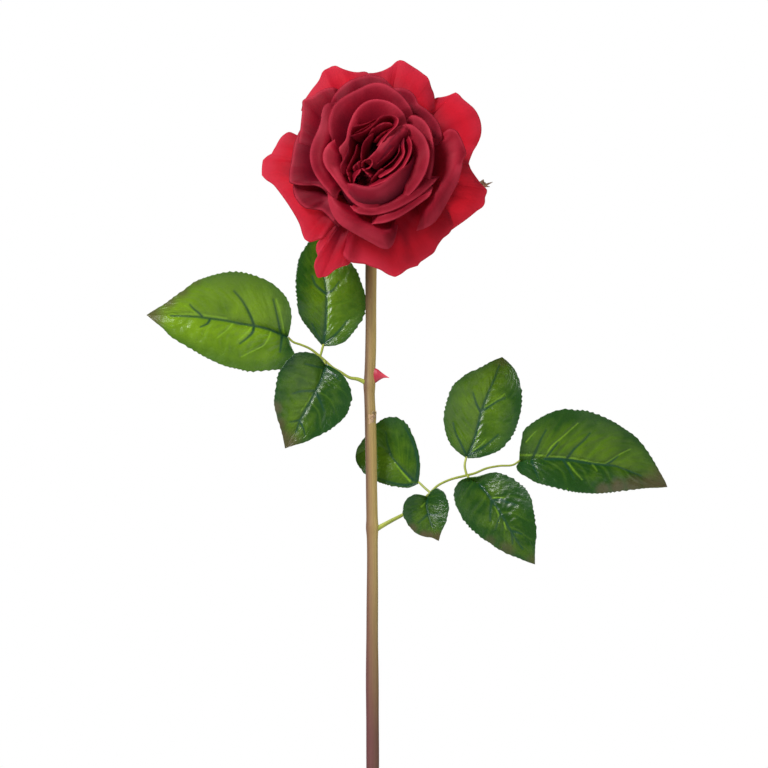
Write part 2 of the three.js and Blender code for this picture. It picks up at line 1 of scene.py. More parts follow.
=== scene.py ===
"""A long-stemmed red rose in a clear glass bud vase, dressed round its solid model.

Surfaces are worked out in millimetres, in the frame of the solid model, and become metres
when their mesh is written. The bloom faces -Y, where the camera stands.
"""

from __future__ import annotations

import logging
import math
from dataclasses import dataclass, field, replace
from enum import Enum
from typing import Callable, Iterable, Sequence

import bpy
import numpy as np
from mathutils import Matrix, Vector


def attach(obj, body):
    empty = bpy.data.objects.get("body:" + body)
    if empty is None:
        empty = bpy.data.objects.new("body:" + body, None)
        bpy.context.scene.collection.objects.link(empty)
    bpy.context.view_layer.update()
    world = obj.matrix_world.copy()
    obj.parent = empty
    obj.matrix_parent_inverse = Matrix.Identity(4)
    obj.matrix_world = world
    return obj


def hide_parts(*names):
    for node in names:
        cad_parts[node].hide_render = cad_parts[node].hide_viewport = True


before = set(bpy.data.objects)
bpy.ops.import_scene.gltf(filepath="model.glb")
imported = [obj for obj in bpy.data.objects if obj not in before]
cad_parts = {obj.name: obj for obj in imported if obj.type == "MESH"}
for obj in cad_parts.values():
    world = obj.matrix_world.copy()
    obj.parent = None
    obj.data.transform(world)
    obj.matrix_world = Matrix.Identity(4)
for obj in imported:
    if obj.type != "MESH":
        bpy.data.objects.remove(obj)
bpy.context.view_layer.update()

LOG = logging.getLogger("rose")

MM = 0.001
BODY = "root"
TINY = 1e-9
CORNER_SLOPE = 0.1
FIRST_ACROSS = (0.0, 1.0, 0.2)

Colour = tuple[float, float, float, float]
Point = tuple[float, float, float]
Sketch = tuple[tuple[float, ...], ...]
Material = bpy.types.Material
Object = bpy.types.Object
Socket = bpy.types.NodeSocket
Tree = bpy.types.NodeTree


class Slot(Enum):
    """Names of material slots, which no piece here takes its finish from."""

    GLASS = "vase_glass"
    WATER = "water"
    STEM = "stem_bark"
    THORN = "thorn"
    LEAF = "leaf"
    CALYX = "calyx"
    PETAL = "petal"


class Mark(Enum):
    """Values painted on a mesh, which its material reads as attributes."""

    ALONG = "along"      # from a blade's root, 0, to its rim, 1
    ACROSS = "across"    # from a blade's one side, -1, to the other, 1
    UNDER = "under"      # 1 on a blade's back
    STROKE = "stroke"    # the dark painted veins of a leaf
    VEIN = "vein"        # the thin pale veins of a leaf
    STAIN = "stain"      # the brown of a leaf's tip and edge
    # on a petal, how much light comes through it, which also paints it lighter; on a leaf, the lightness
    # of its green, partly painted light and shade
    TONE = "tone"        # 0 for a dark piece, 1 for a light one
    # painted shade: dark in the depth of a fold, between petals and in creases
    SHADE = "shade"      # 1 in the depth of a fold
    # painted highlight: pale along a petal's rim and on its lit folds
    PAINTED_HIGHLIGHT = "painted_highlight"      # 1 along a petal's rim
    SLANT = "slant"      # rises along a leaf, and is even along its side veins


Marks = dict[Mark, np.ndarray]


def srgb(*screen: int) -> Colour:
    """A colour as it shows on a screen, red, green and blue from 0 to 255, as linear light."""
    shares = [value / 255 for value in screen]
    return (*(s / 12.92 if s <= 0.04045 else ((s + 0.055) / 1.055) ** 2.4 for s in shares), 1.0)


def smoothstep(low: float, high: float, values: np.ndarray) -> np.ndarray:
    """A soft step from 0 at low to 1 at high."""
    share = np.clip((values - low) / (high - low), 0.0, 1.0)
    return share * share * (3.0 - 2.0 * share)


def wave(turns: np.ndarray) -> np.ndarray:
    """The sine of a number of whole turns."""
    return np.sin(2 * math.pi * turns)


def round_turn(sides: int) -> np.ndarray:
    """Even angles once round."""
    return np.linspace(0, 2 * math.pi, sides, endpoint=False)


def normed(vectors: np.ndarray, spare: float = 0.0) -> np.ndarray:
    """Vectors brought to a length of one."""
    return vectors / (np.linalg.norm(vectors, axis=-1, keepdims=True) + spare)


def knots_of(points: np.ndarray) -> np.ndarray:
    """How far along their line a few points are, from 0 to 1."""
    steps = np.linalg.norm(np.diff(points, axis=0), axis=1)
    return np.concatenate([[0.0], np.cumsum(steps)]) / steps.sum()


def smooth_line(points: Sequence[Sequence[float]], shares: np.ndarray,
                sharp: Sequence[int] = ()) -> np.ndarray:
    """Rows on a smooth curve through a few rows, evened out by their distances.

    Args:
        points: The control points, one a row.
        shares: Where on the curve, from 0 at its start to 1 at its end.
        sharp: The control points where the curve has a corner.

    Returns:
        One row for each share.
    """
    points = np.asarray(points, dtype=float)
    knots = knots_of(points)
    slopes = np.gradient(points, knots, axis=0)
    slopes[list(sharp)] *= CORNER_SLOPE
    first = np.clip(np.searchsorted(knots, shares, side="right") - 1, 0, len(knots) - 2)
    width = (knots[first + 1] - knots[first])[:, None]
    t = (shares - knots[first])[:, None] / width
    return ((2 * t**3 - 3 * t**2 + 1) * points[first]
            + (t**3 - 2 * t**2 + t) * width * slopes[first]
            + (3 * t**2 - 2 * t**3) * points[first + 1]
            + (t**3 - t**2) * width * slopes[first + 1])


@dataclass(frozen=True)
class FrontView:
    """The picture's view, which turns a spot in it and a depth into a point in space.

    The picture is 768 units wide and high, from its top left corner. Lengths are in mm.
    """

    middle: float = 384.0
    unit: float = 0.482
    centre: tuple[float, float] = (5.8, 390.0)
    focus_plane: float = -30.0
    lens: float = 600.0
    sensor: float = 36.0

    @property
    def distance(self) -> float:
        """How far the camera stands from the focus plane."""
        return 2 * self.middle * self.unit * self.lens / self.sensor

    def space(self, x: np.ndarray, y: np.ndarray, depth: np.ndarray) -> np.ndarray:
        """The points that show at spots of the picture.

        Args:
            x: How far right the spots are.
            y: How far down they are.
            depth: The points' Y, in mm.

        Returns:
            The points, in mm.
        """
        shrink = 1 + (depth - self.focus_plane) / self.distance
        right = self.centre[0] + (x - self.middle) * self.unit * shrink
        up = self.centre[1] + (self.middle - y) * self.unit * shrink
        return np.stack([right, depth + 0 * right, up], axis=-1)

    def seen(self, points: np.ndarray) -> np.ndarray:
        """The spots of the picture where points show.

        Args:
            points: The points, in mm.

        Returns:
            The spots, with x and y in the last axis.
        """
        shrink = 1 + (points[..., 1] - self.focus_plane) / self.distance
        x = self.middle + (points[..., 0] - self.centre[0]) / shrink / self.unit
        y = self.middle - (points[..., 2] - self.centre[1]) / shrink / self.unit
        return np.stack([x, y], axis=-1)


VIEW = FrontView()


# ------------------------------------------------------------------ meshes


def linked(name: str, data: bpy.types.ID) -> Object:
    """A new object at the origin of the scene.

    Args:
        name: Its name.
        data: Its mesh, curve, lamp or camera.

    Returns:
        The object.
    """
    piece = bpy.data.objects.new(name, data)
    bpy.context.scene.collection.objects.link(piece)
    return piece


@dataclass
class MeshBag:
    """Closed blades and skins gathered into one mesh, with the marks painted on them."""

    points: list[np.ndarray] = field(default_factory=list)
    faces: list[np.ndarray] = field(default_factory=list)
    smooth: list[np.ndarray] = field(default_factory=list)
    marks: dict[Mark, list[np.ndarray]] = field(default_factory=dict)
    count: int = 0

    def _keep(self, points: np.ndarray, faces: np.ndarray, marks: Marks,
              flat_faces: int = 0) -> None:
        """Add one closed body.

        Args:
            points: Its points.
            faces: Its faces, four corners a row.
            marks: For each mark, its values on the points.
            flat_faces: How many of the last faces aren't smooth.
        """
        for mark in {**marks, **self.marks}:
            rows = self.marks.setdefault(mark, [np.zeros(self.count)] if self.count else [])
            rows.append(marks.get(mark, np.zeros(len(points))))
        self.points.append(points)
        self.faces.append(faces + self.count)
        self.smooth.append(np.arange(len(faces)) < len(faces) - flat_faces)
        self.count += len(points)

    def add_blade(self, grid: np.ndarray, thickness: float, marks: Marks) -> None:
        """Add a thin closed blade, whose front looks to the viewer.

        Args:
            grid: Its middle surface, rows by columns by 3, in mm.
            thickness: How thick it is, in mm.
            marks: For each mark, its values on the grid.
        """
        rows, columns, _ = grid.shape
        normal = np.cross(np.gradient(grid, axis=0), np.gradient(grid, axis=1))
        if np.sum(-normal[..., 1]) < 0:
            grid, normal = grid[:, ::-1], -normal[:, ::-1]
            marks = {mark: values[:, ::-1] for mark, values in marks.items()}
        half = normed(normal, TINY) * thickness / 2
        points = np.concatenate([(grid + half).reshape(-1, 3), (grid - half).reshape(-1, 3)])
        number = np.arange(rows * columns).reshape(rows, columns)
        quads = np.stack([number[:-1, :-1], number[1:, :-1], number[1:, 1:], number[:-1, 1:]],
                         axis=-1).reshape(-1, 4)
        ring = np.concatenate([number[0, :-1], number[:-1, -1], number[-1, :0:-1],
                               number[:0:-1, 0]])
        after = np.roll(ring, -1)
        back = rows * columns
        strip = np.stack([ring, after, after + back, ring + back], axis=-1)
        painted = {mark: np.tile(values.ravel(), 2) for mark, values in marks.items()}
        painted[Mark.UNDER] = np.repeat([0.0, 1.0], back)
        self._keep(points, np.concatenate([quads, quads[:, ::-1] + back, strip]), painted,
                   len(strip))

    def add_skin(self, rings: np.ndarray, marks: Marks | None = None) -> None:
        """Add a closed skin over rings of points, with its ends drawn to their centres.

        Args:
            rings: Rings by sides by 3, in mm.
            marks: For each mark, its values on the rings, if any.
        """
        levels, sides, _ = rings.shape
        points = np.concatenate([rings.reshape(-1, 3), rings[:1].mean(axis=1),
                                 rings[-1:].mean(axis=1)])
        number = np.arange(levels * sides).reshape(levels, sides)
        beside = np.roll(number, -1, axis=1)
        quads = np.stack([number[:-1], beside[:-1], beside[1:], number[1:]],
                         axis=-1).reshape(-1, 4)
        first, last = levels * sides, levels * sides + 1
        caps = [[first, b, a, a] for a, b in zip(number[0], beside[0])]
        caps += [[last, a, b, b] for a, b in zip(number[-1], beside[-1])]
        faces = np.concatenate([quads, np.array(caps)])
        corners = points[faces[:, :3]]
        volume = np.einsum("ij,ij->i", corners[:, 0], np.cross(corners[:, 1], corners[:, 2]))
        if volume.sum() < 0:
            faces = faces[:, ::-1]
        self._keep(points, faces, {
            mark: np.concatenate([values.ravel(), [values[0].mean(), values[-1].mean()]])
            for mark, values in (marks or {}).items()})

    def build(self, name: str, material: Material) -> Object:
        """Write the mesh and its object.

        Args:
            name: The piece's name.
            material: Its finish.

        Returns:
            The new object, at the origin.
        """
        mesh = bpy.data.meshes.new(name)
        corners = np.concatenate(self.points) * MM
        faces = [list(dict.fromkeys(face)) for face in np.concatenate(self.faces).tolist()]
        mesh.from_pydata(corners.tolist(), [], faces)
        mesh.polygons.foreach_set("use_smooth", np.concatenate(self.smooth))
        for mark, rows in self.marks.items():
            layer = mesh.attributes.new(mark.value, "FLOAT", "POINT")
            layer.data.foreach_set("value", np.concatenate(rows))
        mesh.materials.append(material)
        mesh.validate()
        mesh.update()
        return linked(name, mesh)


def skin_bag(rings: np.ndarray, marks: Marks | None = None) -> MeshBag:
    """A bag with one closed skin in it.

    Args:
        rings: Rings by sides by 3, in mm.
        marks: For each mark, its values on the rings, if any.

    Returns:
        The bag.
    """
    bag = MeshBag()
    bag.add_skin(rings, marks)
    return bag


def lathe(profile: Sequence[Sequence[float]], sides: int) -> np.ndarray:
    """Rings of points turned about the Z axis.

    Args:
        profile: Pairs of radius and height, in mm.
        sides: Points in each ring.

    Returns:
        Rings by sides by 3.
    """
    turn = round_turn(sides)
    radius, height = np.array(profile).T
    return np.stack([np.outer(radius, np.cos(turn)), np.outer(radius, np.sin(turn)),
                     np.outer(height, np.ones(sides))], axis=-1)


def sweep(line: np.ndarray, radii: np.ndarray, sides: int) -> np.ndarray:
    """Rings of points round a line, which never twist.

    Args:
        line: Points of the line, in mm.
        radii: The radius at each point, or at each point and side.
        sides: Points in each ring.

    Returns:
        Rings by sides by 3.
    """
    along = normed(np.gradient(line, axis=0))
    across = np.empty_like(along)
    across[0] = np.cross(along[0], FIRST_ACROSS)
    for i in range(1, len(line)):
        across[i] = across[i - 1] - along[i] * np.dot(across[i - 1], along[i])
    across = normed(across)
    other = np.cross(along, across)
    turn = round_turn(sides)
    radius = radii if radii.ndim == 2 else np.repeat(radii[:, None], sides, axis=1)
    return (line[:, None, :] + across[:, None, :] * (radius * np.cos(turn))[..., None]
            + other[:, None, :] * (radius * np.sin(turn))[..., None])


def place(piece: Object, node: str) -> None:
    """Seat a finished piece on the frame, in the place of its solid.

    Args:
        piece: The object.
        node: The solid it stands for.
    """
    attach(piece, BODY)
    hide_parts(node)
    LOG.info("%s: %d faces", piece.name, len(piece.data.polygons))


# ------------------------------------------------------------------ shader tools


@dataclass(frozen=True)
class Ramp:
    """A number's way from one range to another, where it is held."""

    low: float
    high: float
    start: float = 0.0
    end: float = 1.0


class Wiring:
    """Short ways to add and join the nodes of one shader tree."""

    def __init__(self, tree: Tree) -> None:
        """Start on a tree."""
        self.tree = tree

    def put(self, socket: Socket, value: object) -> None:
        """Set an input to a value, or link it to a socket.

        Args:
            socket: The input.
            value: The value or the socket.
        """
        if isinstance(value, Socket):
            self.tree.links.new(value, socket)
        else:
            socket.default_value = value

    def node(self, kind: str, *values: object, settings: dict[str, object] | None = None,
             **inputs: object) -> bpy.types.Node:
        """Add a node, and set or link its inputs.

        Args:
            kind: The node's type, without ShaderNode.
            *values: A value or a socket for each of its first inputs.
            settings: The node's own settings.
            **inputs: A value or a socket for other inputs, by name with _ for spaces.

        Returns:
            The node.
        """
        node = self.tree.nodes.new("ShaderNode" + kind)
        for name, value in (settings or {}).items():
            setattr(node, name, value)
        named = [(node.inputs[name.replace("_", " ")], value) for name, value in inputs.items()]
        for socket, value in [*zip(node.inputs, values), *named]:
            self.put(socket, value)
        return node

    def out(self, kind: str, *values: object, **inputs: object) -> Socket:
        """Add a node as node() does, and give back its first output."""
        return self.node(kind, *values, **inputs).outputs[0]

    def math(self, operation: str, first: object, second: object = 0.0,
             clamp: bool = False) -> Socket:
        """A sum, product or other operation on two numbers."""
        return self.out("Math", first, second,
                        settings={"operation": operation, "use_clamp": clamp})

    def times(self, first: object, second: object) -> Socket:
        """The product of two numbers."""
        return self.math("MULTIPLY", first, second)

    def plus(self, first: object, second: object, clamp: bool = False) -> Socket:
        """The sum of two numbers, held between 0 and 1 if it is clamped."""
        return self.math("ADD", first, second, clamp)

    def ramp(self, value: object, ramp: Ramp) -> Socket:
        """A number moved along a ramp."""
        return self.out("MapRange", value, ramp.low, ramp.high, ramp.start, ramp.end)

    def blend(self, share: object, first: object, second: object) -> Socket:
        """A colour between two.

        Args:
            share: How much of the second colour there is.
            first: The first colour.
            second: The second colour.

        Returns:
            The colour.
        """
        node = self.node("Mix", share, settings={"data_type": "RGBA"})
        colours = [socket for socket in node.inputs if socket.type == "RGBA"]
        self.put(colours[0], first)
        self.put(colours[1], second)
        return next(socket for socket in node.outputs if socket.type == "RGBA")

    def mix(self, share: object, first: Socket, second: Socket) -> Socket:
        """A shader between two, by the share of the second."""
        return self.out("MixShader", share, first, second)

    def mark(self, mark: Mark) -> Socket:
        """The value of a mark."""
        return self.node("Attribute", settings={"attribute_name": mark.value}).outputs["Fac"]

    def place(self) -> Socket:
        """The piece's own coordinates, in metres."""
        return self.node("TexCoord").outputs["Object"]

    def parts(self) -> tuple[Socket, Socket, Socket]:
        """The three numbers of the piece's own coordinates."""
        return tuple(self.node("SeparateXYZ", self.place()).outputs)

    def group(self, tree: Tree, **inputs: object) -> Socket:
        """Place a node group."""
        return self.out("Group", settings={"node_tree": tree}, **inputs)

    def bump(self, height: object, strength: float, distance: float) -> Socket:
        """A normal from a height in metres."""
        return self.out("Bump", Height=height, Strength=strength, Distance=distance)


class EffectGroups:
    """The shader node groups that several finishes share, each built once."""

    def __init__(self) -> None:
        """Build every group."""
        self.mottle = self._build("soft patches", self._mottle,
                                  {"Vector": None, "Scale": 60.0, "Amount": 0.5})
        self.streaks = self._build("fine streaks", self._streaks,
                                   {"Along": 0.0, "Across": 0.0, "Count": 40.0, "Amount": 0.5})
        self.grain = self._build("skin grain", self._grain, {"Vector": None, "Scale": 900.0})

    @staticmethod
    def _build(name: str, fill: Callable[..., Socket],
               inputs: dict[str, float | None]) -> Tree:
        """Make one group.

        Args:
            name: The group's name.
            fill: Adds its nodes between its inputs' sockets and its output's.
            inputs: The name and default of each input, with None for a vector.

        Returns:
            The group's tree.
        """
        tree = bpy.data.node_groups.new(name, "ShaderNodeTree")
        for label, value in inputs.items():
            kind = "NodeSocketVector" if value is None else "NodeSocketFloat"
            socket = tree.interface.new_socket(label, in_out="INPUT", socket_type=kind)
            if value is not None:
                socket.default_value = value
        tree.interface.new_socket("Value", in_out="OUTPUT", socket_type="NodeSocketFloat")
        start = tree.nodes.new("NodeGroupInput")
        end = tree.nodes.new("NodeGroupOutput")
        sockets = [start.outputs[label] for label in inputs]
        tree.links.new(fill(Wiring(tree), *sockets), end.inputs[0])
        return tree

    @staticmethod
    def _centred(wires: Wiring, noise: bpy.types.Node, amount: Socket) -> Socket:
        """A noise as values round 0.5, as far off it as the amount says."""
        centred = wires.math("SUBTRACT", noise.outputs["Fac"], 0.5)
        return wires.plus(wires.times(centred, amount), 0.5)

    @classmethod
    def _mottle(cls, wires: Wiring, vector: Socket, scale: Socket, amount: Socket) -> Socket:
        """Patches round 0.5."""
        noise = wires.node("TexNoise", Vector=vector, Scale=scale, Detail=3.0)
        return cls._centred(wires, noise, amount)

    @classmethod
    def _streaks(cls, wires: Wiring, along: Socket, across: Socket, count: Socket,
                 amount: Socket) -> Socket:
        """Thin lines that run along a blade or a stem.

        Args:
            wires: The group's tree.
            along: How far along each spot is.
            across: How far across it is.
            count: How many lines there are.
            amount: How far from 0.5 they go.

        Returns:
            The lines.
        """
        flow = wires.out("CombineXYZ", wires.times(across, count), wires.times(along, 3.0))
        noise = wires.node("TexNoise", Vector=flow, Scale=1.0, Detail=4.0, Roughness=0.6)
        return cls._centred(wires, noise, amount)

    @staticmethod
    def _grain(wires: Wiring, vector: Socket, scale: Socket) -> Socket:
        """Small cells, as on the skin of a leaf or a petal."""
        return wires.node("TexVoronoi", Vector=vector, Scale=scale).outputs["Distance"]

    def patches(self, wires: Wiring, scale: float, amount: float) -> Socket:
        """Soft patches on a piece."""
        return wires.group(self.mottle, Vector=wires.place(), Scale=scale, Amount=amount)

    def lines(self, wires: Wiring, along: Socket, across: Socket, count: float,
              amount: float) -> Socket:
        """Fine streaks along a piece."""
        return wires.group(self.streaks, Along=along, Across=across, Count=count,
                           Amount=amount)

    def cells(self, wires: Wiring, scale: float) -> Socket:
        """Fine grain on a piece."""
        return wires.group(self.grain, Vector=wires.place(), Scale=scale)


class Finish:
    """A finish that several pieces may share: its material is made once."""

    name = "finish"

    def material(self, groups: EffectGroups) -> Material:
        """Make the material.

        Args:
            groups: The shared effects.

        Returns:
            The new material.
        """
        material = bpy.data.materials.new(self.name)
        material.use_nodes = True
        material.node_tree.nodes.clear()
        wires = Wiring(material.node_tree)
        wires.node("OutputMaterial", self.surface(wires, groups))
        return material

    def surface(self, wires: Wiring, groups: EffectGroups) -> Socket:
        """Add the finish's nodes to its tree and give back its shader."""
        raise NotImplementedError

    @staticmethod
    def thin_sheet(wires: Wiring, face: Socket, through: object, share: object) -> Socket:
        """A blade that lets light through: the inner side of its far face doesn't stop it.

        Args:
            wires: The tree.
            face: The shader of the outer surface.
            through: The colour that the light takes on its way through.
            share: How much of the light goes through.

        Returns:
            The shader of the whole blade.
        """
        lit = wires.mix(share, face, wires.out("BsdfTranslucent", Color=through))
        inside = wires.node("NewGeometry").outputs["Backfacing"]
        return wires.mix(inside, lit, wires.out("BsdfTransparent"))


@dataclass(frozen=True)
class PetalVelvet(Finish):
    """Soft crimson petals; the tone mark says how much light comes through one."""

    name: str = "petal velvet"
    # painted light and shade: deep towards a petal's root, bright towards its rim and on the rings that
    # glow
    deep: Colour = srgb(102, 4, 24)
    bright: Colour = srgb(158, 13, 38)
    back: Colour = srgb(138, 20, 42)
    # the pale pink of the painted highlights, pale rims and sheen
    edge: Colour = srgb(196, 58, 78)
    glow: Colour = srgb(246, 38, 54)
    # the colour of the painted shade in the depths and creases
    hollow_shade: Colour = srgb(34, 5, 22)
    blotches: tuple[float, float] = (90.0, 1.1)
    clouds: tuple[float, float] = (48.0, 1.6)
    weave: tuple[float, float] = (900.0, 2.0)
    streaks: tuple[float, float] = (44.0, 1.3)
    grain: float = 2600.0
    bright_part: Ramp = Ramp(0.5, 1.0)
    tone_share: float = 0.4
    streak_share: float = 0.4
    weave_share: Ramp = Ramp(0.2, 0.8, 0.0, 0.34)
    back_share: float = 0.6
    highlight_share: Ramp = Ramp(0.3, 0.7, 0.45, 0.8)
    rim_part: Ramp = Ramp(0.86, 1.04)
    rim_share: float = 0.45
    sheen_part: Ramp = Ramp(0.3, 0.95)
    sheen_share: Ramp = Ramp(0.45, 0.95, 0.0, 0.3)
    hollow_shade_share: float = 0.9
    roughness: float = 0.62
    specular: float = 0.1
    streak_height: float = 1.4
    relief: tuple[float, float] = (0.2, 0.0002)
    light_part: Ramp = Ramp(0.6, 0.85, 0.3, 1.0)
    light_at_rim: Ramp = Ramp(0.88, 1.0, 1.0, 0.6)
    light_in_shade: Ramp = Ramp(0.0, 1.0, 1.0, 0.1)
    light_by_cloud: Ramp = Ramp(0.3, 0.7, 1.2, 0.75)
    light_through: Ramp = Ramp(0.0, 1.0, 0.02, 0.42)

    def surface(self, wires: Wiring, groups: EffectGroups) -> Socket:
        """Crimson with streaks, a paler back, painted shade and a painted pale rim.

        Args:
            wires: The material's tree.
            groups: The shared effects.

        Returns:
            The shader.
        """
        along, tone, shade = (wires.mark(mark) for mark in (Mark.ALONG, Mark.TONE, Mark.SHADE))
        blotches = groups.patches(wires, *self.blotches)
        clouds = groups.patches(wires, *self.clouds)
        streaks = groups.lines(wires, along, wires.mark(Mark.ACROSS), *self.streaks)
        # painted light and shade: lighter towards the rim, with random blotches, and on the rings that
        # glow
        light = wires.plus(wires.times(wires.ramp(along, self.bright_part), blotches),
                           wires.times(tone, self.tone_share), clamp=True)
        body = wires.blend(light, self.deep, self.bright)
        body = wires.blend(wires.times(streaks, self.streak_share), body, self.deep)
        weave = wires.ramp(groups.patches(wires, *self.weave), self.weave_share)
        body = wires.blend(weave, body, self.deep)
        body = wires.blend(wires.times(wires.mark(Mark.UNDER), self.back_share), body, self.back)
        # painted highlights along the rims and on lit folds, and a painted pale rim where the ring glows
        painted_highlight = wires.times(wires.mark(Mark.PAINTED_HIGHLIGHT), wires.ramp(blotches, self.highlight_share))
        rim = wires.times(wires.times(tone, wires.ramp(along, self.rim_part)), self.rim_share)
        body = wires.blend(wires.math("MAXIMUM", painted_highlight, rim), body, self.edge)
        # painted sheen in pale pink clouds towards the rim
        sheen = wires.times(clouds, wires.ramp(along, self.sheen_part))
        body = wires.blend(wires.ramp(sheen, self.sheen_share), body, self.edge)
        # painted shade in the depths and creases
        body = wires.blend(wires.times(shade, self.hollow_shade_share), body, self.hollow_shade)
        height = wires.plus(wires.times(streaks, self.streak_height),
                            groups.cells(wires, self.grain))
        face = wires.out("BsdfPrincipled", Base_Color=body, Roughness=self.roughness,
                         Specular_IOR_Level=self.specular,
                         Normal=wires.bump(height, *self.relief))
        through = wires.times(tone, wires.ramp(along, self.light_part))
        for value, ramp in ((along, self.light_at_rim), (shade, self.light_in_shade),
                            (clouds, self.light_by_cloud)):
            through = wires.times(through, wires.ramp(value, ramp))
        return self.thin_sheet(wires, face, self.glow, wires.ramp(through, self.light_through))


@dataclass(frozen=True)
class LeafLacquer(Finish):
    """Glossy green leaves with dark painted veins, thin pale veins and brown tips."""

    name: str = "leaf lacquer"
    dark: Colour = srgb(14, 50, 12)
    light: Colour = srgb(106, 138, 16)
    teal: Colour = srgb(16, 56, 38)
    stroke: Colour = srgb(4, 46, 42)
    vein: Colour = srgb(128, 168, 42)
    stain: Colour = srgb(80, 58, 50)
    back: Colour = srgb(112, 142, 92)
    glow: Colour = srgb(120, 190, 30)
    through: float = 0.05
    blotches: tuple[float, float] = (95.0, 1.5)
    blotch_tone: float = 0.7
    wrinkles: tuple[float, float] = (20.0, 1.5)
    wrinkle_run: float = 1.7
    wrinkle_tone: float = 0.22
    margin_power: float = 2.6
    margin_share: float = 1.1
    base_part: Ramp = Ramp(0.24, 0.04)
    base_share: Ramp = Ramp(0.2, 0.7, 0.4, 0.9)
    teal_share: float = 0.8
    stain_share: Ramp = Ramp(0.1, 0.6, 0.6, 1.0)
    back_share: float = 0.7
    grain: float = 1500.0
    grain_height: float = 0.03
    wrinkle_height: Ramp = Ramp(0.25, 0.75, 0.3, 1.6)
    relief: tuple[float, float] = (0.42, 0.0006)
    worn: tuple[float, float] = (160.0, 1.0)
    roughness: Ramp = Ramp(0.2, 0.8, 0.2, 0.36)
    back_roughness: float = 0.25
    specular: float = 0.3

    def surface(self, wires: Wiring, groups: EffectGroups) -> Socket:
        """Green by tone, then veins, stains and strokes, under a thin gloss.

        Args:
            wires: The material's tree.
            groups: The shared effects.

        Returns:
            The shader.
        """
        side, under = wires.math("ABSOLUTE", wires.mark(Mark.ACROSS)), wires.mark(Mark.UNDER)
        blotches = groups.patches(wires, *self.blotches)
        wrinkles = groups.lines(wires, wires.times(side, self.wrinkle_run),
                                wires.mark(Mark.SLANT), *self.wrinkles)
        uneven, creased = (wires.math("SUBTRACT", value, 0.5) for value in (blotches, wrinkles))
        tone = wires.plus(wires.mark(Mark.TONE), wires.times(uneven, self.blotch_tone))
        # painted light on the crumples: lighter and darker along the wrinkles that also give the bump
        tone = wires.plus(tone, wires.times(creased, self.wrinkle_tone), clamp=True)
        margin = wires.times(wires.math("POWER", side, self.margin_power), blotches)
        base = wires.times(wires.ramp(wires.mark(Mark.ALONG), self.base_part),
                           wires.ramp(blotches, self.base_share))
        teal = wires.math("MAXIMUM", wires.times(margin, self.margin_share), base, clamp=True)
        stain = wires.times(wires.mark(Mark.STAIN), wires.ramp(blotches, self.stain_share))
        body = wires.blend(tone, self.dark, self.light)
        for share, colour in ((wires.times(teal, self.teal_share), self.teal),
                              (wires.mark(Mark.VEIN), self.vein), (stain, self.stain),
                              (wires.mark(Mark.STROKE), self.stroke),
                              (wires.times(under, self.back_share), self.back)):
            body = wires.blend(share, body, colour)
        height = wires.plus(
            wires.times(wrinkles, wires.ramp(blotches, self.wrinkle_height)),
            wires.times(groups.cells(wires, self.grain), self.grain_height))
        gloss = wires.plus(wires.ramp(groups.patches(wires, *self.worn), self.roughness),
                           wires.times(under, self.back_roughness))
        face = wires.out("BsdfPrincipled", Base_Color=body, Roughness=gloss,
                         Specular_IOR_Level=self.specular,
                         Normal=wires.bump(height, *self.relief))
        return self.thin_sheet(wires, face, self.glow, self.through)


@dataclass(frozen=True)
class GreenStalk(Finish):
    """The yellow-green stalks of the leaves."""

    name: str = "green stalk"
    top: Colour = srgb(176, 180, 74)
    low: Colour = srgb(118, 138, 50)
    blotches: tuple[float, float] = (220.0, 1.3)
    roughness: float = 0.45

    def surface(self, wires: Wiring, groups: EffectGroups) -> Socket:
        """Yellow-green with soft patches."""
        body = wires.blend(groups.patches(wires, *self.blotches), self.low, self.top)
        return wires.out("BsdfPrincipled", Base_Color=body, Roughness=self.roughness)


@dataclass(frozen=True)
class StemBark(Finish):
    """The stem: olive gold at the top, mauve brown on its left and towards the foot, painted darker on
    its left and brighter gold on its right as shade and light.
    """

    name: str = "stem bark"
    left: Colour = srgb(106, 80, 60)
    middle: Colour = srgb(162, 136, 80)
    right: Colour = srgb(232, 208, 122)
    foot: Colour = srgb(94, 46, 54)
    streaks: tuple[float, float] = (14.0, 1.6)
    streak_run: float = 9.0
    sway: float = 0.0022
    left_edge: Ramp = Ramp(-0.0028, -0.0006)
    right_edge: Ramp = Ramp(-0.0002, 0.0024)
    streak_share: float = 0.25
    foot_part: Ramp = Ramp(0.37, 0.22)
    foot_share: float = 0.9
    blotches: tuple[float, float] = (120.0, 0.5)
    roughness: Ramp = Ramp(0.0, 1.0, 0.38, 0.6)
    relief: tuple[float, float] = (0.35, 0.0004)

    def surface(self, wires: Wiring, groups: EffectGroups) -> Socket:
        """Streaks along the stem, with colour by height and by side, the side colours painted shade and
        light.

        Args:
            wires: The material's tree.
            groups: The shared effects.

        Returns:
            The shader.
        """
        side, _, height = wires.parts()
        streaks = groups.lines(wires, wires.times(height, self.streak_run),
                               wires.mark(Mark.ACROSS), *self.streaks)
        side = wires.plus(side, wires.times(wires.math("SUBTRACT", streaks, 0.5), self.sway))
        # painted shade and light by side: darker mauve brown on the left, bright gold on the right
        body = wires.blend(wires.ramp(side, self.left_edge), self.left, self.middle)
        body = wires.blend(wires.ramp(side, self.right_edge), body, self.right)
        body = wires.blend(wires.times(streaks, self.streak_share), body, self.left)
        low = wires.times(wires.ramp(height, self.foot_part), self.foot_share)
        gloss = wires.ramp(groups.patches(wires, *self.blotches), self.roughness)
        return wires.out("BsdfPrincipled", Base_Color=wires.blend(low, body, self.foot),
                         Roughness=gloss, Normal=wires.bump(streaks, *self.relief))


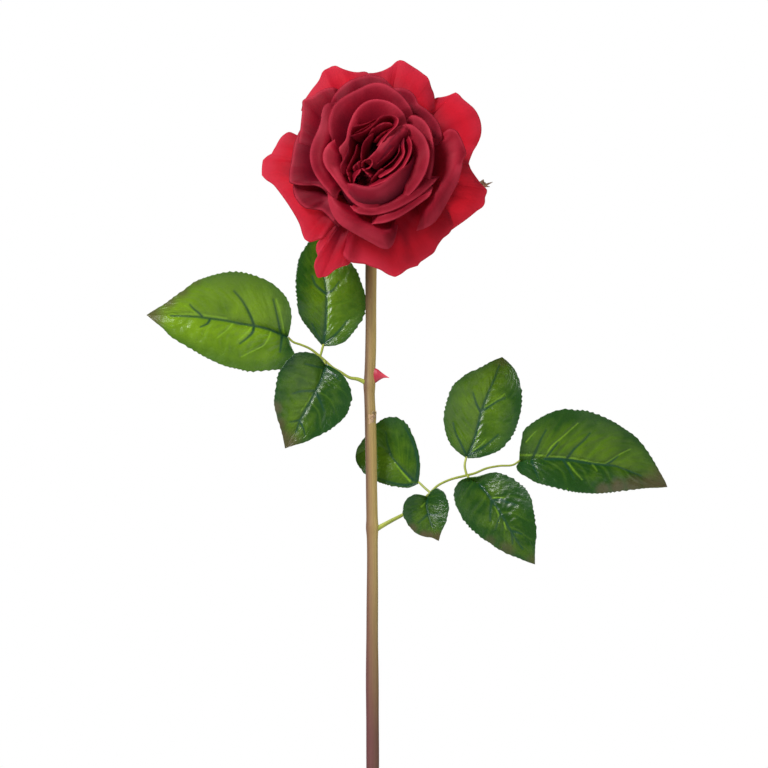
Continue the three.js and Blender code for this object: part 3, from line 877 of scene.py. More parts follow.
@dataclass(frozen=True)
class ThornSkin(Finish):
    """The red thorn, paler towards its point."""

    name: str = "thorn skin"
    root: Colour = srgb(150, 30, 52)
    tip: Colour = srgb(214, 70, 88)
    roughness: float = 0.4

    def surface(self, wires: Wiring, groups: EffectGroups) -> Socket:
        """Red from root to tip."""
        body = wires.blend(wires.mark(Mark.ALONG), self.root, self.tip)
        return wires.out("BsdfPrincipled", Base_Color=body, Roughness=self.roughness)


@dataclass(frozen=True)
class SepalSkin(Finish):
    """The calyx and its sepals: green, drying to straw at the tips."""

    name: str = "sepal skin"
    green: Colour = srgb(92, 116, 52)
    straw: Colour = srgb(214, 180, 142)
    tip: Colour = srgb(122, 90, 58)
    streaks: tuple[float, float] = (9.0, 1.4)
    streak_share: float = 0.5
    straw_part: Ramp = Ramp(0.62, 0.9)
    tip_part: Ramp = Ramp(1.02, 1.2)
    roughness: float = 0.55
    relief: tuple[float, float] = (0.4, 0.0004)

    def surface(self, wires: Wiring, groups: EffectGroups) -> Socket:
        """Green with streaks, straw near the tips.

        Args:
            wires: The material's tree.
            groups: The shared effects.

        Returns:
            The shader.
        """
        along = wires.mark(Mark.ALONG)
        streaks = groups.lines(wires, along, wires.mark(Mark.ACROSS), *self.streaks)
        body = wires.blend(wires.ramp(along, self.straw_part), self.green, self.straw)
        body = wires.blend(wires.times(streaks, self.streak_share), body, self.tip)
        body = wires.blend(wires.ramp(along, self.tip_part), body, self.tip)
        return wires.out("BsdfPrincipled", Base_Color=body, Roughness=self.roughness,
                         Normal=wires.bump(streaks, *self.relief))


@dataclass(frozen=True)
class ClearMedium(Finish):
    """Glass or water: clear, and no dark shadow under it."""

    name: str = "clear glass"
    tint: Colour = (0.97, 0.99, 0.985, 1.0)
    shadow: Colour = (0.9, 0.93, 0.925, 1.0)
    index: float = 1.5
    roughness: float = 0.0

    def surface(self, wires: Wiring, groups: EffectGroups) -> Socket:
        """Refraction for what is seen, plain tinted light for shadows.

        Args:
            wires: The material's tree.
            groups: The shared effects.

        Returns:
            The shader.
        """
        face = wires.node("BsdfPrincipled", Base_Color=self.tint, Roughness=self.roughness,
                          IOR=self.index)
        face.inputs["Transmission Weight"].default_value = 1.0
        shadow = wires.node("LightPath").outputs["Is Shadow Ray"]
        return wires.mix(shadow, face.outputs[0],
                         wires.out("BsdfTransparent", Color=self.shadow))


@dataclass(frozen=True)
class PaleFloor(Finish):
    """A pale matt floor that fades into the white round it."""

    name: str = "pale floor"
    colour: Colour = srgb(236, 235, 233)
    fade: Ramp = Ramp(0.55, 1.45)

    def surface(self, wires: Wiring, groups: EffectGroups) -> Socket:
        """Matt in the middle, transparent at the rim.

        Args:
            wires: The material's tree.
            groups: The shared effects.

        Returns:
            The shader.
        """
        x, y, _ = wires.parts()
        distance = wires.node("VectorMath", wires.out("CombineXYZ", x, y),
                              settings={"operation": "LENGTH"}).outputs["Value"]
        return wires.mix(wires.ramp(distance, self.fade),
                         wires.out("BsdfDiffuse", Color=self.colour),
                         wires.out("BsdfTransparent"))


@dataclass(frozen=True)
class Brush:
    """A tapered stroke of paint, drawn on the picture, with its half width in mm."""

    line: Sketch
    half: float
    depth: float
    blur: float

    STEPS = 24
    TAPER = 0.6
    FADE = 0.25
    EDGE = (0.55, 1.35)
    SOFTER = 0.5

    def mask(self, spots: np.ndarray, spread: float = 1.0) -> np.ndarray:
        """How much paint each spot of the picture gets, from 0 to 1.

        Args:
            spots: The spots, in the picture's units.
            spread: How many times wider than drawn.

        Returns:
            The paint on each spot.
        """
        path = smooth_line(self.line, np.linspace(0, 1, self.STEPS + 1))
        step = np.diff(path, axis=0)
        gap = spots[..., None, :] - path[:-1]
        part = np.clip((gap * step).sum(axis=-1) / (step**2).sum(axis=-1), 0, 1)
        away = np.linalg.norm(gap - part[..., None] * step, axis=-1) * VIEW.unit
        near = away.argmin(axis=-1)[..., None]
        share = (near + np.take_along_axis(part, near, axis=-1))[..., 0] / self.STEPS
        width = self.half * spread * (1 - self.TAPER * share * (1 - self.blur))
        soft = self.SOFTER * self.blur
        paint = 1 - smoothstep(self.EDGE[0] - soft, self.EDGE[1] + soft,
                               away.min(axis=-1) / width)
        return self.depth * paint * (1 - self.FADE * share)


def grouped(numbers: Sequence[float], size: int) -> Sketch:
    """Numbers in one row as rows of a size."""
    return tuple(zip(*(numbers[k::size] for k in range(size))))


def spots(*numbers: float) -> Sketch:
    """Spots of the picture, from an x and a y for each."""
    return grouped(numbers, 2)


def sketch(*numbers: float) -> Sketch:
    """Spots of a sketch, from an x, a y and a height for each."""
    return grouped(numbers, 3)


def level(height: float, *numbers: float) -> Sketch:
    """Spots of a sketch at one height, from an x and a y for each."""
    return tuple((x, y, height) for x, y in grouped(numbers, 2))


def strand(*numbers: float) -> Sketch:
    """Points of a stalk, from an x, a y, a z and a radius in mm for each."""
    return grouped(numbers, 4)


def stroke(half: float, *numbers: float) -> Brush:
    """A fine stroke of full paint, by its half width and its spots."""
    return Brush(grouped(numbers, 2), half, 1.0, 0.45)


def wash(half: float, depth: float, *numbers: float, blur: float = 1.0) -> Brush:
    """A soft stroke of painted shade or highlight, by its half width, its depth and its spots."""
    return Brush(grouped(numbers, 2), half, depth, blur)


def painted(ground: np.ndarray, brushes: Iterable[Brush], where: np.ndarray,
            spread: float = 1.0, strength: float = 1.0) -> np.ndarray:
    """A mark with strokes laid over it, where they are the stronger.

    Args:
        ground: The mark's values.
        brushes: The strokes.
        where: The spots of the picture where the values are.
        spread: How many times wider than drawn the strokes are.
        strength: How much of their paint stays.

    Returns:
        The mark's new values.
    """
    for brush in brushes:
        ground = np.maximum(ground, strength * brush.mask(where, spread))
    return ground


# ------------------------------------------------------------------ the bloom


@dataclass(frozen=True)
class BloomFrame:
    """The bloom's own frame: right, up across its face, and out along its axis.

    A sketch of the bloom is drawn on the picture, with eight units to one of the picture's
    and its own corner, and gives each spot's height along the bloom's axis.
    """

    base: Point = (0.5, -26.0, 490.2)
    tilt: float = math.radians(12)
    corner: tuple[float, float] = (255.0, 50.0)
    scale: float = 8.0
    rounds: int = 4

    def space(self, points: np.ndarray) -> np.ndarray:
        """Points of the bloom's frame as points in space.

        Args:
            points: The points, with right, up and out in the last axis.

        Returns:
            The points in space, in mm.
        """
        right, up, out = points[..., 0], points[..., 1], points[..., 2]
        sine, cosine = math.sin(self.tilt), math.cos(self.tilt)
        return np.stack([right, up * sine - out * cosine, up * cosine + out * sine],
                        axis=-1) + np.array(self.base)

    def sketched(self, drawn: Sketch) -> np.ndarray:
        """Spots of a sketch as points of the bloom's frame.

        Args:
            drawn: For each spot, its x, its y and its height.

        Returns:
            The points, whose depth and place in the picture are brought to agree.
        """
        x, y, out = np.array(drawn, dtype=float).T
        sine, cosine = math.sin(self.tilt), math.cos(self.tilt)
        depth = self.base[1] - out * cosine
        for _ in range(self.rounds):
            spot = VIEW.space(self.corner[0] + x / self.scale,
                              self.corner[1] + y / self.scale, depth)
            up = (spot[:, 2] - self.base[2] - out * sine) / cosine
            depth = self.base[1] - out * cosine + up * sine
        return np.stack([spot[:, 0] - self.base[0], up, out], axis=1)


FRAME = BloomFrame()
AXIS = np.array([0.0, 0.0, 1.0])
LIP_ROWS = 6
LEAST_ROLL = 0.04
ROLL_AT_ENDS = 0.15
ROLL_AT_TIPS = (0.12, 0.88)
END_PART = 0.09
# painted shade grows between these depths below a petal's rim, in mm; the painted highlight along the rim
# is this many rows wide
HOLLOW_DEPTHS = (0.8, 7.5)
HIGHLIGHT_ROWS = 1.1

# For each wave across a petal: its count, its shift by the petal's phase, and its weight.
EDGE_WAVES = ((2.3, 1.0, 1.0), (5.1, 2.7, 0.4))
FOLD_WAVES = ((1.3, 1.9, 1.0), (3.3, 0.7, 0.35))
PLEATS = ((23.0, 1.0, 0.05),)


def rolled(grid: np.ndarray, radius: float, turn: float, roll: np.ndarray) -> np.ndarray:
    """A petal with its lip rolled back.

    Args:
        grid: The petal up to its lip, in the bloom's frame.
        radius: The roll's radius, in mm.
        turn: How far a full lip rolls, in degrees.
        roll: How much of that each column rolls, from 0 to 1.

    Returns:
        The grid with the lip's rows added.
    """
    ahead = normed(grid[-1] - grid[-2], TINY)
    down = normed(ahead * ahead[:, 2:] - AXIS, TINY)
    bend = math.radians(turn) * np.clip(roll, LEAST_ROLL, 1.0)[None, :, None] * np.linspace(
        0, 1, LIP_ROWS + 1)[1:, None, None]
    lip = grid[-1] + radius * (np.sin(bend) * ahead + (1 - np.cos(bend)) * down)
    return np.concatenate([grid, lip])


def rippled(grid: np.ndarray, along: np.ndarray, shares: np.ndarray, depth: float,
            phase: float) -> np.ndarray:
    """A petal with soft folds, a rippled edge and fine pleats.

    Args:
        grid: The petal, in the bloom's frame.
        along: For each row, how far from root to rim.
        shares: For each column, how far along the rim.
        depth: The ripples' height, in mm.
        phase: Where they start.

    Returns:
        The uneven petal.
    """
    edge, fold, pleat = (sum(weight * wave(count * shares + shift * phase)
                             for count, shift, weight in waves)
                         for waves in (EDGE_WAVES, FOLD_WAVES, PLEATS))
    lift = depth * (0.8 * edge * along**3 + 1.1 * fold * np.sin(math.pi * along**1.2))
    uneven = grid.copy()
    uneven[..., 2] += lift + depth * pleat * along**1.5
    return uneven


def rim_roll(rim: np.ndarray, columns: int, tips: Sequence[int]) -> np.ndarray:
    """How much a petal's lip rolls along its rim: least at its ends and its tips.

    Args:
        rim: The control points of the rim.
        columns: Columns along the rim.
        tips: The points that are hardly rolled.

    Returns:
        For each column, how much it rolls, from 0 to 1.
    """
    shares = np.linspace(0, 1, columns)
    roll = np.clip(np.minimum(shares, 1 - shares) * 9, ROLL_AT_ENDS, 1.0)
    for tip in tips:
        away = np.abs(shares - knots_of(rim)[tip])
        roll = roll * (ROLL_AT_TIPS[0] + ROLL_AT_TIPS[1] * smoothstep(0.0, END_PART, away))
    return roll


def shaped(petal: Petal | FoldedPetal, grid: np.ndarray, along: np.ndarray, rim: np.ndarray,
           phase: float) -> tuple[np.ndarray, Marks]:
    """A petal's plain surface, tucked in at its ends, rippled and rolled, with painted shade and
    highlight.

    Args:
        petal: The petal.
        grid: Its plain surface, in the bloom's frame.
        along: For each row, how far from root to rim.
        rim: The control points of its rim.
        phase: Where its ripples start.

    Returns:
        The grid and the values of each mark.
    """
    rows, columns, _ = grid.shape
    shares = np.linspace(0, 1, columns)
    ends = np.minimum(shares, 1 - shares)
    roll = rim_roll(rim, columns, petal.tips)
    grid[..., 2] -= petal.tuck * (1 - smoothstep(0.0, END_PART, ends)) * along**2
    grid = rippled(grid, along, shares, petal.ripple, phase)
    grid = rolled(grid, petal.lip, petal.turn, roll)
    row = np.arange(rows + LIP_ROWS)[:, None] + 0 * shares[None, :]
    below = np.where(row < rows - 1, grid[rows - 1][None, :, 2] - grid[..., 2], 0.0)
    # painted shade below the rim and a painted highlight along it
    return grid, {Mark.ALONG: row / (rows - 1),
                  Mark.ACROSS: (shares * 2 - 1)[None, :] + 0 * row,
                  Mark.SHADE: petal.hollow_shade * smoothstep(*HOLLOW_DEPTHS, below),
                  Mark.PAINTED_HIGHLIGHT: np.exp(-((row - rows + 0.5) / HIGHLIGHT_ROWS)**2)}


@dataclass(frozen=True)
class Petal:
    """A petal that grows from the bloom's root as a cup, and bends out to its rim.

    The girth is the cup's radius low down. The lean is the way that the blade runs into its
    rim, outwards and along the axis. The tips are the rim's spots that aren't rolled.
    """

    rim: Sketch
    foot: float
    girth: float
    lean: tuple[float, float]
    lip: float = 1.5
    turn: float = 120.0
    ripple: float = 0.5
    tuck: float = 4.0
    # painted shade: how dark the whole petal is painted, less on its lit rim, and how dark its depth
    # below the rim
    dim: float = 0.0
    hollow_shade: float = 0.0
    tips: tuple[int, ...] = ()

    ROOT_START = 0.05
    ROOT_RADIUS = 3.0
    CUP_RISE = 3
    LIP_SETBACK = 0.8

    def grid(self, rows: int, columns: int, phase: float) -> tuple[np.ndarray, Marks]:
        """The petal's middle surface in the bloom's frame, and its marks.

        Args:
            rows: Rows from root to rim.
            columns: Columns along the rim.
            phase: Where its ripples start.

        Returns:
            The grid of points in mm, and the values of each mark.
        """
        corners = FRAME.sketched(self.rim)
        end = smooth_line(corners, np.linspace(0, 1, columns), self.tips)
        radius = np.hypot(end[:, 0], end[:, 1])
        facing = math.atan2(*(end[len(end) // 2, 1::-1]))
        offset = np.arctan2(end[:, 1], end[:, 0]) - facing
        offset = np.arctan2(np.sin(offset), np.cos(offset))
        stop = radius - self.LIP_SETBACK * self.lip * rim_roll(corners, columns, self.tips)

        s = np.linspace(self.ROOT_START, 1, rows)[:, None]
        weights = ((1 - s)**3, 3 * s * (1 - s)**2, 3 * s**2 * (1 - s), s**3)
        cup_radii = (self.ROOT_RADIUS, self.girth, stop - self.lean[0], stop)
        cup_heights = (self.foot, self.foot + self.CUP_RISE, end[:, 2] - self.lean[1], end[:, 2])
        out = sum(w * r for w, r in zip(weights, cup_radii))
        high = sum(w * h for w, h in zip(weights, cup_heights))
        turn = facing + offset * (0.7 + 0.3 * s**0.6)
        grid = np.stack([out * np.cos(turn), out * np.sin(turn), high], axis=-1)
        return shaped(self, grid, s, corners, phase)


@dataclass(frozen=True)
class FoldedPetal:
    """A petal sketched by a few lines across it, from its root to its rim."""

    lines: tuple[Sketch, ...]
    lip: float = 0.3
    turn: float = 80.0
    ripple: float = 0.15
    tuck: float = 3.0
    # painted shade: how dark the whole petal is painted, less on its lit rim, and how dark its depth
    # below the rim
    dim: float = 0.0
    hollow_shade: float = 0.8
    tips: tuple[int, ...] = ()

    def grid(self, rows: int, columns: int, phase: float) -> tuple[np.ndarray, Marks]:
        """The petal's middle surface in the bloom's frame, and its marks.

        Args:
            rows: Rows from root to rim.
            columns: Columns along the rim.
            phase: Where its ripples start.

        Returns:
            The grid of points in mm, and the values of each mark.
        """
        shares = np.linspace(0, 1, columns)
        drawn = [FRAME.sketched(line) for line in self.lines]
        sharp = [()] * (len(drawn) - 1) + [self.tips]
        across = np.stack([smooth_line(line, shares, tips) for line, tips in zip(drawn, sharp)])
        s = np.linspace(0, 1, rows)
        grid = smooth_line(across.reshape(len(drawn), -1), s).reshape(rows, columns, 3)
        return shaped(self, grid, s[:, None], drawn[-1], phase)

    def packed(self, top: float = 36.0, fill: float = 0.5) -> FoldedPetal:
        """The petal as one of the heart's folds, whose lower lines stand nearer the top.

        Args:
            top: The heart's height along the bloom's axis, in mm.
            fill: How much of a line's depth under the top stays.

        Returns:
            The new petal.
        """
        *lower, rim = self.lines
        lines = [tuple((x, y, top - (top - height) * fill) for x, y, height in line)
                 for line in lower]
        return replace(self, tuck=1.2, hollow_shade=0.5, ripple=0.38, lines=(*lines, rim))


# Painted shade and shadow between the outer petals and on them.
SHADES = (
    wash(3.2, 0.6, 405,225, 406.9,240, 409.4,256.2),
    wash(6, 0.55, 417.5,227.5, 417.5,245),
    wash(5.5, 0.42, 443,217, 429,229, 414,240),
    wash(1.6, 0.6, 456.9,183.8, 451.5,197.5, 446.2,211.2),
    wash(4.5, 0.4, 350,235, 353.8,250),
    wash(3, 0.4, 342.5,228.8, 362.5,237.5, 385,248.8),
    wash(3, 0.35, 320,216.2, 330,225, 340,235),
    wash(4, 0.35, 305,110, 300,125, 292.5,140),
    wash(3, 0.35, 362.5,75, 375,73.8, 386.2,77.5),
    wash(4.5, 0.45, 432.5,91.2, 435,112.5, 440,130),
)

# Painted highlights on the folds and rims inside the bloom.
LIGHTS = (
    wash(2.8, 0.75, 330,198.8, 336.2,213.8, 347.5,225, 365,232.5, 380,238.8, 386.9,243.1, blur=0.8),
    wash(1.6, 0.5, 335,170, 342.5,185, 351.2,196.2, 362.5,205, 375,210, blur=0.8),
    wash(3.5, 0.35, 383.8,193.8, 393.8,185, 401.2,175, blur=0.8),
    wash(1.8, 0.8, 458.1,167.5, 453.8,182.5, 447.5,195, 440,207.5, 431.2,220, blur=0.8),
    wash(1.2, 0.15, 323.1,115, 319,131.2, 312.1,148.8, 311.9,160, 316.2,172.5, blur=0.8),
    wash(1.5, 0.3, 335,115, 342.5,103.8, 351.2,96.9, 362.5,91.2, blur=0.8),
    wash(2.2, 0.35, 380,146.2, 390,137.5, 401.2,130, blur=0.8),
    wash(0.8, 0.3, 375,212.5, 392.5,208.8, 411.2,200, 427.5,188.8, blur=0.8),
    wash(0.9, 0.9, 304,100, 310,96.5, 318.5,93.8, blur=0.7),
    wash(4, 0.45, 449,136, 453,150, 452,166, 446,182),
)

# Painted shade in the cup's hollows.
CUP_SHADES = (
    wash(3.2, 0.3, 323.1,112, 317,131.2, 311.5,150.8, 312.9,166),
    wash(3, 0.12, 352,96, 368,90, 386,92),
    wash(3.5, 0.25, 330,100, 322,112, 318,124),
    wash(3.5, 0.22, 398,97, 411,112, 421,131, 423,150),
    wash(3.5, 0.15, 365,190, 380,193, 398,186),
    wash(4, 0.25, 430,112, 437,126, 440,142, 439,160),
)

# Painted shade in the heart's finest creases.
CREASE_SHADES = (
    wash(0.9, 0.7, 406.5,137, 400.5,145, 393.8,154, blur=0.8),
    wash(0.55, 0.65, 390.5,146, 383.5,156, 377,166, blur=0.8),
    wash(0.55, 0.65, 397.5,157, 390,165.5, 382.5,172.6, blur=0.8),
    wash(0.5, 0.6, 400,131, 391,140, 384,149.5, blur=0.8),
    wash(1, 0.5, 352,137, 349,150, 345.5,162, blur=0.8),
)

# Painted shade under the middle ring's lowest petal.
FLAP = (
    wash(4.5, 0.4, 394,224, 396.5,234, 394.5,243),
)

# Painted highlights on the turned rims of the outer petals.
RIM_HIGHLIGHTS = (
    stroke(0.6, 321.2,237.5, 316.2,243.8, 315,250, 316.9,256.2),
    wash(0.5, 0.8, 317.5,256.2, 320,251.2, 323.8,245, 328.8,240, blur=0.45),
    wash(0.6, 0.5, 283,134.5, 276,147, 269,155.5, blur=0.45),
    wash(0.6, 0.6, 455.5,94.5, 463,96, 470,102, 477,112, blur=0.45),
    wash(0.6, 0.4, 300,250, 309.5,240.5, 318,238, blur=0.45),
)

# The wide outer petals, clockwise from the top left.
OUTER = dict(foot=0.0, girth=24.0, lean=(20.0, -9.0), lip=1.15, ripple=0.6)
OUTER_PETALS = (
    Petal(sketch(
        372,470,9, 400,392,9, 440,330,9, 500,250,9, 545,175,8, 590,145,7, 640,130,7, 700,148,8, 760,163,8,
        820,170,8, 880,168,8, 930,195,9, 985,240,10), tips=(4, 6), **OUTER),
    Petal(sketch(
        850,230,10, 905,187,10, 960,175,10, 1020,160,9, 1080,132,8, 1125,100,6, 1155,86,5, 1200,95,6,
        1260,125,7, 1330,170,8, 1370,210,8, 1392,245,8, 1400,280,8, 1425,330,8, 1438,390,8, 1440,450,8,
        1430,530,9), tips=(6, 11), **OUTER),
    Petal(sketch(
        1385,420,5, 1445,383,5, 1500,372,5, 1560,360,4, 1604,345,3, 1640,370,4, 1700,415,5, 1760,470,5,
        1795,530,4, 1812,600,4, 1808,680,4, 1780,750,4, 1750,800,5, 1725,860,6, 1708,905,7, 1690,980,8),
        tips=(4,), **OUTER),
    Petal(sketch(
        1680,860,7, 1705,905,7, 1740,970,6, 1790,1040,5, 1830,1090,4, 1853,1118,3, 1838,1180,4,
        1830,1238,4, 1770,1290,5, 1700,1345,5, 1625,1400,4, 1560,1445,3, 1490,1480,2, 1446,1510,2),
        tips=(5, 7), **OUTER),
    Petal(sketch(
        1480,1120,9, 1525,1190,8.5, 1548,1270,8, 1566,1340,7.5, 1584,1404,7, 1550,1462,6, 1500,1512,5.5,
        1462,1565,5, 1432,1620,4, 1380,1655,4, 1320,1690,3, 1300,1722,3, 1240,1735,3, 1180,1775,2,
        1118,1812,1, 1060,1785,2, 1000,1755,3, 940,1735,3, 880,1712,3, 820,1705,3, 760,1692,4, 715,1640,6,
        700,1560,7), tips=(4, 11, 14), **OUTER),
    Petal(sketch(
        760,1690,2, 700,1725,1, 640,1755,1, 580,1800,0, 540,1812,-1, 510,1822,-1, 485,1780,0, 472,1730,1,
        480,1690,1, 500,1650,2, 488,1600,2, 495,1550,3, 530,1510,4, 580,1470,5, 640,1430,6),
        foot=0, girth=24, lean=(20, -9), lip=1.2, ripple=0.4, tips=(4, 5)),
    Petal(sketch(
        640,1450,6, 600,1485,5, 540,1500,5, 480,1520,4, 430,1528,4, 400,1510,4, 375,1440,5, 345,1370,5,
        300,1290,5, 245,1205,5, 190,1130,5, 140,1070,4, 90,1030,3, 58,1000,2, 60,940,2, 66,880,2,
        100,850,3, 135,830,3, 165,780,4, 190,720,5, 225,680,5, 270,658,5, 310,668,6, 345,720,8),
        tips=(5, 13, 15, 17), **OUTER),
)

# The petals between the outer ones and the cup; most are dimmed by painted shade.
MIDDLE = dict(foot=2.0, girth=22.0, lean=(13.0, -5.0), lip=0.75, ripple=0.45, dim=0.45)
MIDDLE_PETALS = (
    Petal(sketch(
        340,1020,12, 306,1080,11, 306,1130,11, 330,1190,11, 360,1230,11, 410,1265,11, 470,1272,11,
        530,1282,12, 575,1320,12, 620,1370,12, 670,1400,12), **MIDDLE),
    Petal(sketch(
        600,420,20, 640,350,21, 700,285,22, 760,245,22, 830,215,22, 900,203,22, 960,204,22, 1020,225,22,
        1070,262,22, 1110,310,21, 1150,380,20), **MIDDLE),
    Petal(sketch(
        1060,330,19, 1110,308,19, 1180,305,19, 1240,325,19, 1285,375,19, 1305,425,20, 1370,475,20,
        1430,530,20, 1470,585,20, 1492,650,20, 1500,740,20), **MIDDLE),
    Petal(sketch(
        680,310,17, 640,303,16, 580,302,16, 520,325,16, 465,365,15, 410,388,14, 383,408,14, 378,480,15,
        370,560,16, 362,640,16, 350,720,17, 345,800,17),
        foot=2, girth=22, lean=(13, -5), lip=0.6, ripple=0.4, dim=0.3, tips=(6,)),
    Petal(sketch(
        420,560,17, 365,630,16, 335,690,16, 315,750,16, 300,830,16, 288,930,16, 272,1020,15, 275,1052,15,
        330,1075,15, 400,1080,16, 460,1078,17, 520,1095,18, 565,1125,18, 600,1170,18),
        tips=(5,), **MIDDLE),
    FoldedPetal((
        level(4, 1000,900, 1040,930, 1040,970),
        sketch(1400,760,15, 1430,850,15, 1420,950,15, 1390,1050,15, 1340,1130,14, 1270,1200,13),
        sketch(
            1490,720,19, 1540,690,20, 1580,700,20, 1610,760,20, 1625,830,20, 1605,900,21, 1580,970,22,
            1540,1050,23, 1485,1140,24, 1430,1220,24, 1385,1290,23, 1320,1350,21),
        sketch(
            1485,690,20, 1515,660,21, 1560,641,21, 1600,652,21, 1640,712,20, 1675,790,19, 1690,825,18,
            1662,880,19, 1645,960,20, 1620,1050,20, 1575,1140,20, 1525,1230,20, 1480,1310,20,
            1430,1375,19, 1370,1415,17, 1290,1435,14)),
        lip=0.6, turn=110, ripple=0.4, dim=0.05, hollow_shade=0.4, tips=(6,)),
    FoldedPetal((
        level(4, 880,1000, 900,1030, 950,1040),
        level(15, 720,1160, 780,1230, 870,1280, 960,1310, 1050,1330, 1120,1330),
        sketch(
            605,1130,24, 640,1225,25, 700,1290,25, 790,1355,25, 880,1405,24, 960,1440,24, 1030,1470,23,
            1085,1450,23, 1120,1390,22),
        sketch(
            585,1120,23, 594,1220,23, 625,1310,22, 680,1385,22, 760,1440,21, 850,1490,20, 940,1540,19,
            1010,1577,18, 1062,1590,17, 1096,1556,17, 1120,1500,18, 1134,1440,19, 1140,1390,20)),
        lip=0.85, turn=120, ripple=0.3, tips=(8,)),
)

# The petals that stand round the heart.
CUP_PETALS = (
    FoldedPetal((
        level(5, 880,900, 900,930, 920,960),
        sketch(650,560,18, 680,700,17, 660,820,17, 680,920,17, 720,1010,17, 790,1090,17),
        sketch(
            680,450,27, 630,510,28, 600,590,29, 580,680,29, 540,760,30, 520,840,30, 525,920,30,
            555,990,30, 600,1060,29, 670,1140,28),
        sketch(
            655,408,26, 600,425,27, 560,450,28, 538,510,28, 530,580,28, 505,650,28, 470,725,27,
            447,800,27, 448,890,27, 478,980,27, 530,1060,27, 590,1130,27, 655,1195,26)),
        lip=0.55, turn=95, ripple=0.3),
    FoldedPetal((
        level(4, 980,990, 1000,960, 1020,930),
        level(17, 900,1200, 1040,1180, 1150,1120, 1240,1030),
        sketch(940,1345,27, 1040,1330,28, 1150,1285,28, 1240,1230,28, 1320,1165,28, 1380,1090,27),
        sketch(
            930,1388,26, 1050,1372,27, 1150,1332,27, 1240,1277,27, 1330,1215,27, 1395,1160,27,
            1415,1110,26, 1425,1055,24)), lip=0.5, ripple=0.25, tips=(0,)),
    FoldedPetal((
        level(5, 980,990, 1000,960, 1020,930),
        level(19, 800,1150, 900,1190, 1040,1170, 1150,1100, 1250,1000, 1290,920),
        sketch(
            780,1240,29, 900,1275,30, 1050,1250,30, 1190,1185,30, 1290,1120,30, 1370,1060,29,
            1430,1000,27),
        sketch(
            760,1235,29, 800,1287,29, 900,1313,29, 1000,1306,29, 1090,1281,29, 1190,1236,29, 1290,1176,29,
            1380,1106,28, 1425,1063,27, 1455,1030,25, 1480,1000,22)), lip=0.5, ripple=0.25),
    FoldedPetal((
        level(5, 980,820, 1000,850, 1010,900),
        level(18, 1120,700, 1180,760, 1210,850, 1190,960, 1140,1040),
        sketch(
            1220,610,27, 1270,610,28, 1330,660,28, 1362,740,28, 1370,840,28, 1355,940,28, 1310,1040,27,
            1240,1120,26),
        sketch(
            1205,560,28, 1245,530,29, 1310,541,29, 1368,590,29, 1403,660,29, 1420,750,29, 1422,850,29,
            1412,950,28, 1385,1050,28, 1335,1130,27, 1260,1210,26)), lip=0.6, ripple=0.3),
    FoldedPetal((
        level(5, 900,830, 944,810, 990,830),
        sketch(
            770,860,20, 790,720,22, 830,620,24, 900,570,24.5, 960,555,24.5, 1040,570,24.5, 1110,610,24,
            1150,660,23),
        sketch(
            690,880,23, 668,740,26, 655,600,28, 690,500,29, 760,430,30, 840,392,30, 900,365,30,
            965,352,30, 1030,358,30, 1090,390,30, 1140,432,30, 1185,485,29, 1220,545,28),
        sketch(
            650,880,23, 625,770,26, 603,660,29, 600,560,30, 624,480,31, 690,400,31, 770,350,31,
            850,312,31, 905,285,31, 965,270,31, 1030,278,31, 1100,315,31, 1165,365,31, 1215,425,30,
            1252,485,29, 1275,550,28)), lip=0.6, turn=95, ripple=0.25, hollow_shade=0.55),
    FoldedPetal((
        level(6, 900,960, 920,990, 950,1000),
        sketch(780,850,22, 760,950,21, 790,1040,21, 860,1110,20, 950,1150,20, 1030,1150,20),
        sketch(
            655,765,33, 645,870,33, 675,970,33, 705,1050,33, 770,1115,33, 860,1175,32, 950,1220,31,
            1040,1240,30),
        sketch(
            638,703,33, 592,755,32, 556,810,32, 549,870,32, 570,935,32, 610,990,32, 655,1050,32,
            705,1115,31, 760,1185,31, 810,1232,30, 870,1262,30, 940,1276,29, 1000,1272,29, 1050,1255,29)),
        lip=0.6, ripple=0.15, tips=(0,)),
    FoldedPetal((
        level(6, 980,850, 1000,880, 1000,920),
        level(20, 1100,780, 1130,830, 1130,900, 1100,980, 1060,1020),
        sketch(
            1160,690,32, 1200,668,33, 1250,690,33, 1300,750,33, 1325,830,33, 1320,910,33, 1290,1000,32,
            1240,1080,31, 1170,1140,30),
        sketch(
            1140,650,33, 1188,604,34, 1250,605,34, 1320,655,34, 1370,735,34, 1392,830,34, 1380,920,33,
            1345,1010,32, 1290,1095,31, 1220,1165,30, 1130,1200,29)), lip=0.5, ripple=0.2),
    FoldedPetal((
        level(10, 900,880, 944,840, 990,840),
        sketch(
            800,980,26, 800,880,27, 830,780,28, 860,700,29, 920,650,29, 980,630,29, 1040,640,29,
            1090,680,28),
        sketch(
            715,1010,29, 700,900,30, 715,800,31, 760,710,32, 785,630,33, 805,570,34, 845,500,34,
            890,460,34, 945,435,34, 1020,435,34, 1080,462,34, 1130,502,34, 1165,550,33, 1185,600,32),
        sketch(
            660,1000,28, 650,900,29, 668,800,30, 730,715,31, 745,640,32, 762,585,33, 795,510,34,
            855,440,34, 935,402,34, 1020,402,34, 1100,432,34, 1160,480,34, 1200,535,33, 1215,595,32)),
        lip=0.4, ripple=0.2, hollow_shade=0.5),
    FoldedPetal((
        level(8, 920,960, 980,980, 1020,900),
        sketch(
            690,1120,24, 760,1230,23, 870,1285,22, 960,1292,22, 1080,1262,22, 1175,1200,23, 1245,1110,24,
            1290,1010,25, 1312,900,26, 1300,800,27),
        level(
            31, 705,1090, 780,1185, 870,1225, 960,1228, 1060,1195, 1140,1135, 1205,1050, 1245,970,
            1275,880, 1275,790),
        sketch(
            745,1055,37, 810,1082,37, 867,1097,37, 936,1102,37, 1000,1085,37, 1058,1045,37, 1112,1003,37,
            1160,962,37, 1205,930,36, 1240,915,34)), lip=0.5, turn=70, ripple=0.12),
)

